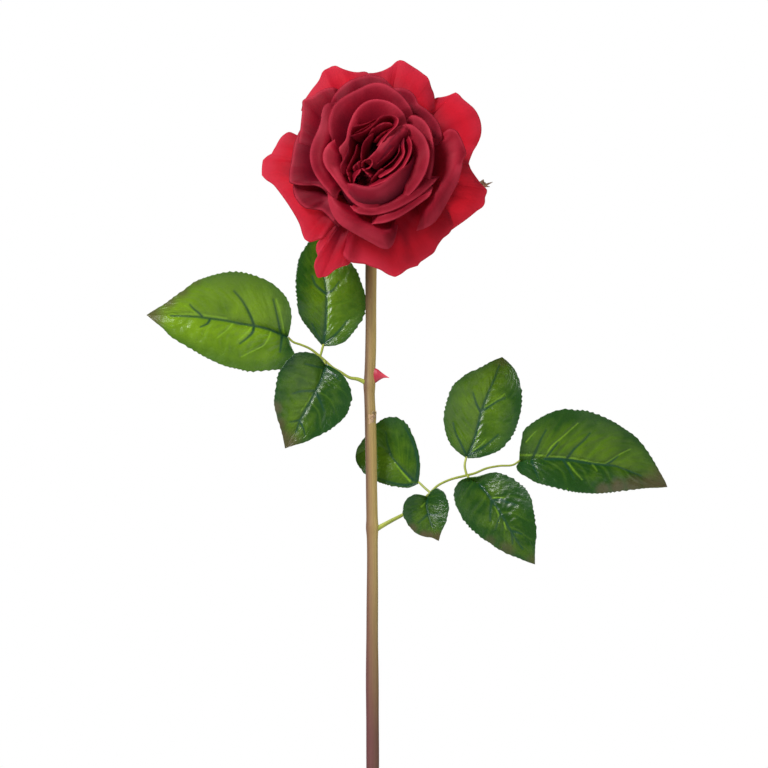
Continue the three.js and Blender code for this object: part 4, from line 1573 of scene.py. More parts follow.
# The tight folds of the heart.
HEART_PETALS = (
    FoldedPetal((
        sketch(1020,560,14, 900,660,12, 800,800,12, 740,980,12),
        sketch(1120,640,16, 1000,760,12, 900,880,12, 820,1040,12),
        sketch(1210,740,26, 1180,880,25, 1080,1000,25, 900,1090,25)), dim=0.7),
    FoldedPetal((
        level(20, 820,980, 830,880, 850,780, 900,700, 960,640, 1010,610),
        level(30, 740,985, 745,900, 775,820, 790,720, 810,660, 870,625, 950,585),
        sketch(
            691,990,35, 685,936,36, 717,872,36, 746,813,37, 750,733,37, 762,680,37, 781,616,37,
            850,600,37, 914,579,37, 960,556,36, 1010,545,34))),
    FoldedPetal((
        level(22, 880,760, 930,710, 980,660, 1030,620, 1060,612, 1070,625, 1050,660, 1000,720, 960,770),
        level(
            31, 820,730, 860,700, 930,660, 985,610, 1040,575, 1085,570, 1105,585, 1090,620, 1050,660,
            1010,705, 975,765),
        sketch(
            762,688,38, 840,664,38, 915,622,39, 957,584,39, 1000,541,39, 1053,521,39, 1112,528,39,
            1144,552,39, 1137,597,39, 1101,639,39, 1058,682,38, 1026,724,38, 998,768,37))),
    FoldedPetal((
        level(20, 910,800, 950,740, 1000,690, 1060,650),
        sketch(912,720,31, 955,680,32, 1000,655,32, 1050,635,32, 1090,628,32),
        sketch(908,670,37, 941,637,38, 973,611,38, 1026,589,38, 1080,587,38, 1112,602,37))),
    FoldedPetal((
        level(18, 900,920, 910,840, 940,770, 980,720),
        sketch(872,890,30, 880,820,31, 905,760,31, 950,705,31),
        sketch(849,885,37, 852,830,37, 860,775,38, 877,733,38, 904,701,38, 945,662,38))),
    FoldedPetal((
        level(18, 870,1000, 850,1010, 820,1020),
        level(29, 862,940, 838,962, 800,985),
        level(35, 852,884, 820,908, 781,942))),
    FoldedPetal((
        level(20, 1040,940, 1060,900, 1100,860, 1140,820, 1150,780),
        sketch(960,950,33, 1010,900,34, 1070,850,35, 1120,800,35, 1160,745,34, 1190,715,32),
        sketch(915,915,37, 960,860,38, 1015,800,39, 1065,745,39, 1120,695,39, 1180,650,38, 1225,650,36),
        sketch(
            872,892,36, 925,855,37, 975,800,37, 1005,745,37, 1035,703,37, 1070,675,37, 1106,648,37,
            1150,613,37, 1195,604,36, 1235,635,35)), lip=0.3),
    FoldedPetal((
        level(22, 900,925, 895,915, 900,905, 912,905, 916,915, 908,925, 900,930),
        sketch(
            852,930,37, 860,895,38, 893,876,38, 925,873,38, 940,893,38, 930,925,38, 904,950,37,
            874,955,37))),
    FoldedPetal((
        level(20, 930,930, 970,960, 1000,990),
        level(36, 851,943, 883,973, 926,1017))),
    FoldedPetal((
        level(20, 760,960, 745,1010, 770,1080),
        level(36, 850,950, 828,988, 803,1020, 793,1060))),
    FoldedPetal((
        level(20, 810,950, 805,1010, 800,1070),
        level(35, 730,955, 749,1011, 764,1065))),
    FoldedPetal((
        level(16, 860,990, 900,1000, 950,1000),
        level(30, 790,1110, 870,1120, 960,1115))),
    FoldedPetal((
        sketch(1020,760,18, 1050,720,20, 1090,690,22),
        sketch(950,735,35, 1000,682,36, 1060,645,36, 1115,625,35))),
    FoldedPetal((
        level(20, 1140,800, 1120,880, 1050,930),
        sketch(1170,690,33, 1155,760,35, 1152,812,36, 1122,862,36, 1078,908,36, 1015,952,35))),
    FoldedPetal((
        level(20, 1120,850, 1080,900, 1020,950),
        sketch(1125,760,36, 1090,808,37, 1035,860,37, 970,915,36))),
    FoldedPetal((
        level(20, 800,960, 820,900, 850,850),
        sketch(735,960,35, 768,890,36, 800,830,36, 820,750,36))),
    FoldedPetal((
        level(20, 880,720, 930,680, 980,640),
        sketch(790,672,36, 850,640,37, 915,605,37, 960,575,36))),
    FoldedPetal((
        level(18, 1060,800, 1080,850, 1060,900, 1000,950, 950,980),
        level(30, 1150,720, 1150,780, 1150,835, 1115,890, 1065,935, 1010,975, 970,1000),
        level(36, 1195,690, 1188,755, 1194,822, 1172,875, 1112,949, 1053,990, 1000,1022))),
    FoldedPetal((
        level(18, 1090,800, 1110,850, 1090,920, 1040,970, 980,1010),
        level(30, 1195,730, 1205,800, 1180,870, 1120,950, 1040,1010, 970,1045),
        sketch(
            1232,685,36, 1250,744,36, 1247,813,36, 1218,885,36, 1180,945,36, 1106,1007,36, 1026,1055,37,
            973,1080,37, 893,1096,37))),
    FoldedPetal((
        level(24, 960,1060, 1010,1030, 1060,990),
        level(35, 925,1050, 963,1002, 1016,954, 1034,946))),
)


class RingName(Enum):
    """The rings of petals, by the names of their pieces."""

    OUTER = "petals_outer"
    MIDDLE = "petals_middle"
    CUP = "petals_cup"
    HEART = "petals_heart"


@dataclass(frozen=True)
class PetalRing:
    """One ring of the bloom's petals, which is one piece."""

    name: RingName
    petals: tuple[Petal | FoldedPetal, ...]
    columns: int
    # how much light comes through the ring's petals, which also paints them lighter and gives them a
    # painted pale rim
    glow: float
    # strokes of painted highlight, then strokes of painted shade
    lights: tuple[Brush, ...]
    painted_shades: tuple[Brush, ...]

    # painted shade on an outer petal towards its root, and less painted dimming under a highlight
    ROOT_SHADE = 0.5
    ROOT_PART = (0.55, 0.9)
    LIT_CREST = 0.6

    def shade(self, petal: Petal | FoldedPetal, marks: Marks) -> np.ndarray:
        """The painted shade on a petal, before the painted shade of its creases.

        Args:
            petal: The petal.
            marks: Its marks.

        Returns:
            The values of the shade.
        """
        if self.name is RingName.OUTER:
            return self.ROOT_SHADE * (1 - smoothstep(*self.ROOT_PART, marks[Mark.ALONG]))
        dim = petal.dim * (1 - self.LIT_CREST * marks[Mark.PAINTED_HIGHLIGHT])
        return np.clip(marks[Mark.SHADE] + dim, 0, 1)


RINGS = (
    PetalRing(RingName.OUTER, OUTER_PETALS, columns=96, glow=1.0, lights=RIM_HIGHLIGHTS, painted_shades=SHADES),
    PetalRing(RingName.MIDDLE, MIDDLE_PETALS, columns=84, glow=0.35, lights=LIGHTS, painted_shades=FLAP),
    PetalRing(RingName.CUP, CUP_PETALS, columns=84, glow=0.1, lights=LIGHTS, painted_shades=CUP_SHADES),
    PetalRing(RingName.HEART, tuple(petal.packed() for petal in HEART_PETALS), columns=62,
              glow=0.0, lights=LIGHTS, painted_shades=CREASE_SHADES),
)


@dataclass
class Bloom:
    """The open bloom: outer petals, middle petals, the cup and the folded heart."""

    finish: Material
    thickness: float = 0.34
    rows: int = 26
    petal_phase: float = 0.37
    ring_phase: float = 0.21

    def build(self) -> None:
        """Make the bloom, one piece for each ring of petals."""
        for count, ring in enumerate(RINGS):
            bag = MeshBag()
            for number, petal in enumerate(ring.petals):
                phase = math.modf(self.petal_phase * number + self.ring_phase * count)[0]
                grid, marks = petal.grid(self.rows, ring.columns, phase)
                grid = FRAME.space(grid)
                seen = VIEW.seen(grid)
                # the ring's glow, and on each petal its painted shade and painted highlights
                marks[Mark.TONE] = np.full(grid.shape[:2], ring.glow)
                marks[Mark.SHADE] = painted(ring.shade(petal, marks), ring.painted_shades, seen)
                marks[Mark.PAINTED_HIGHLIGHT] = painted(marks[Mark.PAINTED_HIGHLIGHT], ring.lights, seen)
                bag.add_blade(grid, self.thickness, marks)
            place(bag.build(ring.name.value, self.finish), "bloom")


# ------------------------------------------------------------------ calyx


@dataclass
class Calyx:
    """The green calyx behind the bloom, with five ragged sepals."""

    finish: Material
    foot: float = -15.0
    radius: float = 8.6
    top: float = -2.3
    sepals: tuple[tuple[float, float], ...] = ((-3, 54.5), (69, 38), (141, 40), (213, 41),
                                               (285, 42))
    half_width: float = 4.4
    thickness: float = 0.6
    rows: int = 120
    lobes: int = 7
    lobe_reach: float = 2.8
    lobe_shift: float = 0.23
    spike_radius: float = 1.0
    spike_depth: float = -23.6

    SPIKE_ROOT = spots(478.5, 186.4, 481.6, 186)
    SPIKES = spots(484, 181.4, 492.8, 182, 486.6, 190, 490, 186.8, 480.6, 190.2)

    def spikes(self, bag: MeshBag) -> None:
        """Add the dry ragged points at the end of the longest sepal.

        Args:
            bag: The bag to add them to.
        """
        share, sides = np.linspace(0, 1, 14), 8
        tone = np.repeat((0.86 + 0.34 * share)[:, None], sides, axis=1)
        for tip in self.SPIKES:
            x, y = smooth_line((*self.SPIKE_ROOT, tip), share).T
            points = VIEW.space(x, y, self.spike_depth - 0.8 * share)
            radii = self.spike_radius * (1 - share)**0.8 + 0.06
            bag.add_skin(sweep(points, radii, sides), {Mark.ALONG: tone})

    def cup(self) -> np.ndarray:
        """The rings of the calyx's cup.

        Returns:
            Rings by sides by 3, in mm.
        """
        foot, radius = self.foot, self.radius
        profile = ((3.3, foot), (3.7, foot + 0.8), (4.6, foot + 2), (radius - 1.4, foot + 5),
                   (radius - 0.1, foot + 8), (radius, foot + 10), (radius - 0.9, self.top),
                   (radius - 4, self.top))
        return FRAME.space(lathe(smooth_line(profile, np.linspace(0, 1, 30)), 48))

    def sepal(self, angle: float, length: float, phase: float) -> tuple[np.ndarray, Marks]:
        """One pointed sepal with small side lobes, from the calyx outwards.

        Args:
            angle: Its direction in degrees, seen from the front.
            length: How far its tip is from the bloom's axis, in mm.
            phase: Where its lobes start.

        Returns:
            The grid of points in mm, and the values of each mark.
        """
        turn = math.radians(angle)
        share = np.linspace(0, 1, self.rows)[:, None]
        side = np.linspace(-1, 1, 9)[None, :]
        out = 4 + (length - 4) * share
        taper = (1 - share)**0.8 * (0.55 + 0.45 * np.sin(share * math.pi))
        lobes = np.maximum(0, wave(self.lobes * share + phase + 0.5 * (side > 0)))**6
        fringe = self.lobe_reach * lobes * np.clip(share * 3 - 0.6, 0, 1) * (1.5 - share)
        half = self.half_width * taper + 0.2 + fringe
        keel = 0.9 * (np.abs(side)**1.5 - 0.6) + 0.5 * np.sin(9 * share + 5 * phase)
        height = -6 + 3.4 * np.sin(share * math.pi * 0.55) + keel * np.sqrt(taper + 0.02)
        reach = out + 0.35 * np.abs(side) * half * lobes
        right = reach * math.cos(turn) - side * half * math.sin(turn)
        up = reach * math.sin(turn) + side * half * math.cos(turn)
        marks = {Mark.ALONG: share + 0 * side, Mark.ACROSS: side + 0 * share}
        return FRAME.space(np.stack([right, up, height + 0 * right], axis=-1)), marks

    def build(self) -> None:
        """Make the calyx."""
        bag = skin_bag(self.cup())
        for number, (angle, length) in enumerate(self.sepals):
            grid, marks = self.sepal(angle, length, self.lobe_shift * number)
            bag.add_blade(grid, self.thickness, marks)
        self.spikes(bag)
        place(bag.build("calyx_and_sepals", self.finish), "calyx")


# ------------------------------------------------------------------ stem


@dataclass(frozen=True)
class Scale:
    """A torn scale of the bud scar, drawn on the picture from its top to its low edge."""

    left: float
    right: float
    top: float
    low: float
    lean: float
    tone: float


@dataclass
class Stem:
    """The long stem with its thorn, its bud scar and the collars where the leaves grow."""

    bark: Material
    thorn_skin: Material
    dry: Material
    radius: float = 3.1
    rings: int = 420
    sides: int = 40
    line: tuple[Point, ...] = (
        (0.0, 13.6, 8.7), (0.2, -3.3, 158), (0.3, -8.0, 205), (0.1, -9.0, 260),
        (0.2, -7.0, 315), (-0.2, -5.7, 340), (-0.9, -3.7, 376), (-1.3, -2.0, 388),
        (-0.8, -0.9, 402), (-0.5, 2.0, 447), (-0.2, 3.0, 466), (0.2, 0.4, 480),
        (0.5, -5.6, 486))
    collars: tuple[float, ...] = (320.5, 389.5)
    collar_rise: float = 0.32
    collar_reach: float = 3.2
    thinning: tuple[Point, ...] = ((0.4, 205, 335), (0.1, 400, 480))
    waves: tuple[tuple[float, float], ...] = ((0.07, 17.0), (0.05, 6.3))
    scar_axis: float = 369.4
    scar_depth: float = -3.8
    scar_thickness: float = 0.35
    scar_reach: float = 2.6
    scar_bow: float = 7.8
    scar_gap: float = 0.3
    scar_curl: float = 0.8
    thorn_depth: float = -1.6
    thorn_width: float = 1.5

    TOP_OF_STEM = (0.0, 0.0, -15.3)
    SCALES = (Scale(372.0, 376.3, 410.8, 415.2, -0.6, 0.8),
              Scale(368.6, 375.2, 415.3, 419.2, -0.4, 1.0),
              Scale(369.2, 374.0, 418.8, 424.5, -0.8, 0.92),
              Scale(374.6, 376.4, 413, 421, -0.2, 0.78))
    THORN = ((-0.4, 394.0, 4.5), (1.45, 394.05, 3.75), (2.9, 394.2, 2.9), (4.3, 394.1, 1.85),
             (5.8, 393.85, 0.95), (7.2, 393.4, 0.42), (8.4, 393.0, 0.1))

    def skin(self) -> tuple[np.ndarray, Marks]:
        """The stem's rings, a little uneven, with a swelling at each leaf.

        Returns:
            The rings, and the values of each mark.
        """
        end = FRAME.space(np.array(self.TOP_OF_STEM))
        line = smooth_line((*self.line, end), np.linspace(0, 1, self.rings))
        height = line[:, 2]
        radius = self.radius + sum(size * np.sin(height / reach) for size, reach in self.waves)
        for collar in self.collars:
            near = np.exp(-((height - collar) / self.collar_reach)**2)
            radius = radius + self.collar_rise * near
        for loss, low, high in self.thinning:
            radius = radius - loss * smoothstep(low, high, height)
        turn = round_turn(self.sides)[None, :]
        ribs = 0.05 * np.sin(5 * turn) + 0.04 * np.sin(3 * turn + height[:, None] / 40)
        marks = {Mark.ACROSS: np.repeat(turn / math.pi - 1, self.rings, axis=0)}
        return sweep(line, radius[:, None] + ribs, self.sides), marks

    def scar(self) -> MeshBag:
        """The small dry bud scar: torn scales on the stem's front.

        Returns:
            The bag that holds them.
        """
        bag = MeshBag()
        v, u = np.linspace(0, 1, 12)[:, None], np.linspace(0, 1, 12)[None, :]
        for torn in self.SCALES:
            rag = 0.5 * np.sin(9 * u + torn.left) * (v < 0.1) - 0.5 * np.cos(8 * u) * (v > 0.9)
            x = torn.left + (torn.right - torn.left) * u + torn.lean * v
            y = torn.top + (torn.low - torn.top) * v + rag + 0.4 * np.sin(7 * v + torn.left)
            across = np.clip((x - self.scar_axis) * VIEW.unit, -self.scar_reach, self.scar_reach)
            depth = (self.scar_depth - np.sqrt(self.scar_bow - across**2) - self.scar_gap
                     - self.scar_curl * (1 - v)**2)
            bag.add_blade(VIEW.space(x, y, depth), self.scar_thickness,
                          {Mark.ALONG: torn.tone + 0 * x, Mark.ACROSS: u + 0 * v})
        return bag

    def thorn(self) -> MeshBag:
        """The hooked thorn on the stem's right side.

        Returns:
            The bag that holds it.
        """
        sides = 32
        share = np.linspace(0, 1, sides)
        x, z, height = (values[:, None] for values in smooth_line(self.THORN, share).T)
        turn = round_turn(sides)[None, :]
        width = np.minimum(0.45 * height + 0.08, self.thorn_width)
        rings = np.stack([x + 0 * turn, self.thorn_depth - 0.2 * x + width * np.cos(turn),
                          z + height * np.sin(turn)], axis=-1)
        return skin_bag(rings, {Mark.ALONG: np.repeat(share[:, None], sides, axis=1)})

    def build(self) -> None:
        """Make the stem, its scar and its thorn."""
        place(skin_bag(*self.skin()).build("stem_long", self.bark), "stem")
        place(self.scar().build("bud_scar", self.dry), "stem")
        place(self.thorn().build("thorn_red", self.thorn_skin), "thorn")


# ------------------------------------------------------------------ leaves


@dataclass(frozen=True)
class Stain:
    """A soft brown patch: its middle on the picture and its radius in mm."""

    x: float
    y: float
    radius: float
    depth: float = 0.9


@dataclass(frozen=True)
class Leaflet:
    """One leaflet, drawn on the picture from its base to its tip.

    The depths are the Y of its base and its tip. The arch is how far it rises to the viewer
    midway, and the fold how steeply each half rises from the midrib, in the edges' order.
    """

    midrib: Sketch
    edges: tuple[Sketch, Sketch]
    depths: tuple[float, float]
    arch: float
    fold: tuple[float, float]
    # the lightness of each half's green, in the edges' order: partly its own green, partly painted shade
    # on a half turned from the light
    tones: tuple[float, float]
    strokes: tuple[Brush, ...] = ()
    pale: tuple[Brush, ...] = ()
    stains: tuple[Stain, ...] = ()
    lobe: float = 0.0
    # strokes of painted shade
    shade_strokes: tuple[Brush, ...] = ()

    STEP = 0.43
    TOOTH = 2.15
    TOOTH_DEPTH = 1.5
    TOOTH_PEAK = 0.7
    FULL_LENGTH = 60
    RIBS = 6.0
    RIB_SHIFT = 0.45
    BULGE = 0.22
    CREASE = 0.10
    CRINKLE = 0.11
    STROKE_DEPTH = 0.22
    GROOVE = 0.35
    GROOVE_REACH = 1.3
    STROKE_SPREAD = 1.55
    PALE_SPREAD = 1.25
    PALE_SHARE = 0.7
    RELIEF_SPREAD = 3.2

    @staticmethod
    def slant(u: np.ndarray, v: np.ndarray) -> np.ndarray:
        """A value that rises along the leaf and is even along its side veins."""
        return v - 0.26 * np.abs(u)**0.8

    def half_grid(self, side: int, v: np.ndarray,
                  middle: np.ndarray) -> tuple[np.ndarray, np.ndarray]:
        """One half of the blade on the picture, from its midrib to its edge.

        Args:
            side: Which edge, 0 or 1.
            v: Shares from base to tip.
            middle: The midrib's spots.

        Returns:
            The shares from midrib to edge, and the spots, rows by columns by 2.
        """
        reach = smooth_line(self.edges[side], v) - middle
        size = np.linalg.norm(reach, axis=1)
        u = np.linspace(0, 1, round(size.max() * VIEW.unit / self.STEP))**0.95
        teeth = round(len(v) * self.STEP / self.TOOTH)
        saw = np.mod(v * teeth + 0.5 * np.sin(11 * v + side) + 0.3 * np.sin(29 * v), 1.0)
        peak = self.TOOTH_PEAK
        saw = np.where(saw < peak, saw / peak, (1 - saw) / 0.3)**1.4 - 0.4
        saw = saw * (0.8 + 0.35 * np.sin(17 * v + 2 * side))
        ends = np.sin(np.clip(v, 0.0, 1.0) * math.pi)**0.5
        bite = self.TOOTH_DEPTH * ends * saw / (np.clip(size, 1e-6, None) + 3.0)
        share = u * (1 + bite[:, None] * smoothstep(0.86, 1.0, u))
        return u, middle[:, None, :] + reach[:, None, :] * share[..., None]

    def grid(self, phase: float) -> tuple[np.ndarray, Marks]:
        """The leaflet's middle surface and its marks.

        Args:
            phase: Where its waves start.

        Returns:
            The grid of points in mm, and the values of each mark.
        """
        length = np.linalg.norm(np.diff(self.midrib, axis=0), axis=1).sum() * VIEW.unit
        v = np.linspace(0, 1, round(length / self.STEP))
        middle = smooth_line(self.midrib, v)
        (one, first), (two, second) = (self.half_grid(side, v, middle) for side in (0, 1))
        where = np.concatenate([first[:, ::-1], second[:, 1:]], axis=1)
        u = np.concatenate([-one[::-1], two[1:]])[None, :]
        v = v[:, None]
        out = np.linalg.norm(where - middle[:, None, :], axis=2) * VIEW.unit
        away, hand = np.abs(u), np.sign(u)

        scale = length / self.FULL_LENGTH
        crown = 4 * v * (1 - v)
        inner = np.clip(1 - away**3, 0, 1) * np.clip(v * 7, 0, 1) * np.clip((1 - v) * 5, 0, 1)
        slant = self.slant(u, v) + 0.02 * np.sin(5 * u + 7 * v + phase)
        ribs = np.mod(slant * self.RIBS + np.where(u < 0, self.RIB_SHIFT, 0.0) + 0.15 * phase,
                      1.0)
        crease = np.exp(-(np.minimum(ribs, 1 - ribs) / 0.07)**2)
        bulge = np.sin(ribs * math.pi)
        crinkle = wave(slant * 14 + 0.7 * np.sin(5 * u + 4 * v + phase)
                       ) * np.sin(9 * u + 11 * v + 2 * phase)
        swell = bulge * np.clip(away * 3, 0, 1) * (0.6 + 0.4 * np.sin(6 * v + 3 * phase + hand))
        drawn = np.clip(sum(brush.mask(where, self.RELIEF_SPREAD)
                            for brush in self.strokes + self.pale), 0, 1)
        relief = scale * inner * (self.BULGE * swell - self.CREASE * crease
                                  + self.CRINKLE * crinkle) - self.STROKE_DEPTH * drawn
        groove = self.GROOVE * scale * np.exp(-(out / (self.GROOVE_REACH * scale))**2) * np.clip(
            (1 - v) * 6, 0, 1)
        waves = scale * np.sin(2 * math.pi * (1.8 * v + phase) + hand) * away**2.5 * crown
        slope = np.where(u < 0, *self.fold)
        lobes = self.lobe * away**2 * np.clip(1 - 5 * v, 0, 1)
        lift = self.arch * crown + slope * out + relief - groove + waves + lobes
        depth = self.depths[0] + (self.depths[1] - self.depths[0]) * v - lift
        return (VIEW.space(where[..., 0], where[..., 1], depth),
                self.marks(where, u, v, (bulge - 0.5) * inner, crease * inner))

    def marks(self, where: np.ndarray, u: np.ndarray, v: np.ndarray, bulge: np.ndarray,
              crease: np.ndarray) -> Marks:
        """The values of each mark on the blade.

        Args:
            where: The spots of the picture where the blade shows.
            u: For each column, how far from the midrib.
            v: For each row, how far from the base.
            bulge: How far the blade swells between its side veins.
            crease: How near each point is to a side vein.

        Returns:
            The values.
        """
        bare = np.zeros(where.shape[:2])
        stain = bare
        for patch in self.stains:
            away = np.hypot(where[..., 0] - patch.x, where[..., 1] - patch.y) * VIEW.unit
            stain = np.maximum(stain, patch.depth * (
                1 - smoothstep(0.25, 1.0, away / patch.radius)))
        vein = painted(bare, self.pale, where, self.PALE_SPREAD, self.PALE_SHARE)
        # darker towards the margins, with painted shade under the shade strokes
        rim = painted(np.abs(u)**4 * 0.3, self.shade_strokes, where)
        tone = np.where(u < 0, *self.tones)
        return {
            Mark.ALONG: v + 0 * u,
            Mark.ACROSS: u + 0 * v,
            Mark.VEIN: np.clip(vein + 0.16 * crease * (1 - 0.6 * np.abs(u)), 0, 1),
            Mark.STROKE: painted(bare, self.strokes, where, self.STROKE_SPREAD),
            Mark.STAIN: stain,
            Mark.SLANT: self.slant(u, v),
            # painted light on the swells between the side veins, less the darkening towards the margins
            # and the painted shade
            Mark.TONE: np.clip(tone + 0.10 * bulge - rim, 0, 1),
        }


@dataclass
class StalkNet:
    """A node tree that turns curves into stalks, shared by every leaf."""

    sides: int = 14
    step: float = 0.0008

    def tree(self) -> Tree:
        """Build the tree: its inputs are the curve, the thickness and the finish.

        Returns:
            The tree.
        """
        tree = bpy.data.node_groups.new("stalks along curves", "GeometryNodeTree")
        for name, way, kind in (("Geometry", "INPUT", "Geometry"), ("Thickness", "INPUT", "Float"),
                                ("Step", "INPUT", "Float"), ("Finish", "INPUT", "Material"),
                                ("Geometry", "OUTPUT", "Geometry")):
            tree.interface.new_socket(name, in_out=way, socket_type="NodeSocket" + kind)
        for socket in tree.interface.items_tree:
            if socket.name in ("Thickness", "Step"):
                socket.default_value = 1.0 if socket.name == "Thickness" else self.step
        start, end, even, ring, width, scale, skin, smooth, real, paint = (
            tree.nodes.new(kind) for kind in (
                "NodeGroupInput", "NodeGroupOutput", "GeometryNodeResampleCurve",
                "GeometryNodeCurvePrimitiveCircle", "GeometryNodeInputRadius", "ShaderNodeMath",
                "GeometryNodeCurveToMesh", "GeometryNodeSetShadeSmooth",
                "GeometryNodeRealizeInstances", "GeometryNodeSetMaterial"))
        even.mode = "LENGTH"
        scale.operation = "MULTIPLY"
        ring.inputs["Resolution"].default_value = self.sides
        ring.inputs["Radius"].default_value = 1.0
        skin.inputs["Fill Caps"].default_value = True
        for source, output, target, name in (
                (start, "Geometry", even, "Curve"), (start, "Step", even, "Length"),
                (width, 0, scale, 0), (start, "Thickness", scale, 1),
                (even, 0, skin, "Curve"), (ring, 0, skin, "Profile Curve"),
                (scale, 0, skin, "Scale"), (skin, 0, smooth, 0), (smooth, 0, real, 0),
                (real, 0, paint, "Geometry"), (start, "Finish", paint, "Material"),
                (paint, 0, end, 0)):
            tree.links.new(source.outputs[output], target.inputs[name])
        return tree


def baked(piece: Object, name: str) -> Object:
    """The piece that a node tree makes, as a plain mesh, with its curve removed.

    Args:
        piece: The object that carries the modifier.
        name: The new piece's name.

    Returns:
        The plain mesh's object.
    """
    bpy.context.view_layer.update()
    graph = bpy.context.evaluated_depsgraph_get()
    mesh = bpy.data.meshes.new_from_object(piece.evaluated_get(graph), depsgraph=graph)
    mesh.name = name
    curve = piece.data
    bpy.data.objects.remove(piece)
    bpy.data.curves.remove(curve)
    return linked(name, mesh)


@dataclass
class Spray:
    """A compound leaf: leaflets on short stalks along one rachis."""

    name: str
    node: str
    rachis: Sketch
    stalks: tuple[Sketch, ...]
    leaflets: tuple[Leaflet, ...]
    thickness: float = 0.4
    points_per_row: int = 8
    first_phase: float = 0.4
    phase_step: float = 1.3

    def stalk_piece(self, tree: Tree, finish: Material) -> Object:
        """The rachis and the leaflets' stalks, made by the node tree.

        Args:
            tree: The tree that makes stalks.
            finish: Their material.

        Returns:
            The finished piece.
        """
        curve = bpy.data.curves.new(self.name + "_line", "CURVE")
        curve.dimensions = "3D"
        for rows in (self.rachis, *self.stalks):
            points = smooth_line(rows, np.linspace(0, 1, self.points_per_row * len(rows)))
            spline = curve.splines.new("POLY")
            spline.points.add(len(points) - 1)
            for spot, (*position, radius) in zip(spline.points, points * MM):
                spot.co = (*position, 1.0)
                spot.radius = radius
        source = linked(self.name + "_line", curve)
        modifier = source.modifiers.new("stalks", "NODES")
        modifier.node_group = tree
        for item in tree.interface.items_tree:
            if item.in_out == "INPUT" and item.name == "Finish":
                modifier[item.identifier] = finish
        return baked(source, self.name + "_stalks")

    def build(self, tree: Tree, stalk: Material, blade: Material) -> None:
        """Make the spray.

        Args:
            tree: The tree that makes stalks.
            stalk: The stalks' finish.
            blade: The leaflets' finish.
        """
        place(self.stalk_piece(tree, stalk), self.node)
        bag = MeshBag()
        for number, leaflet in enumerate(self.leaflets):
            grid, marks = leaflet.grid(self.phase_step * number + self.first_phase)
            bag.add_blade(grid, self.thickness, marks)
        place(bag.build(self.name + "_leaflets", blade), self.node)


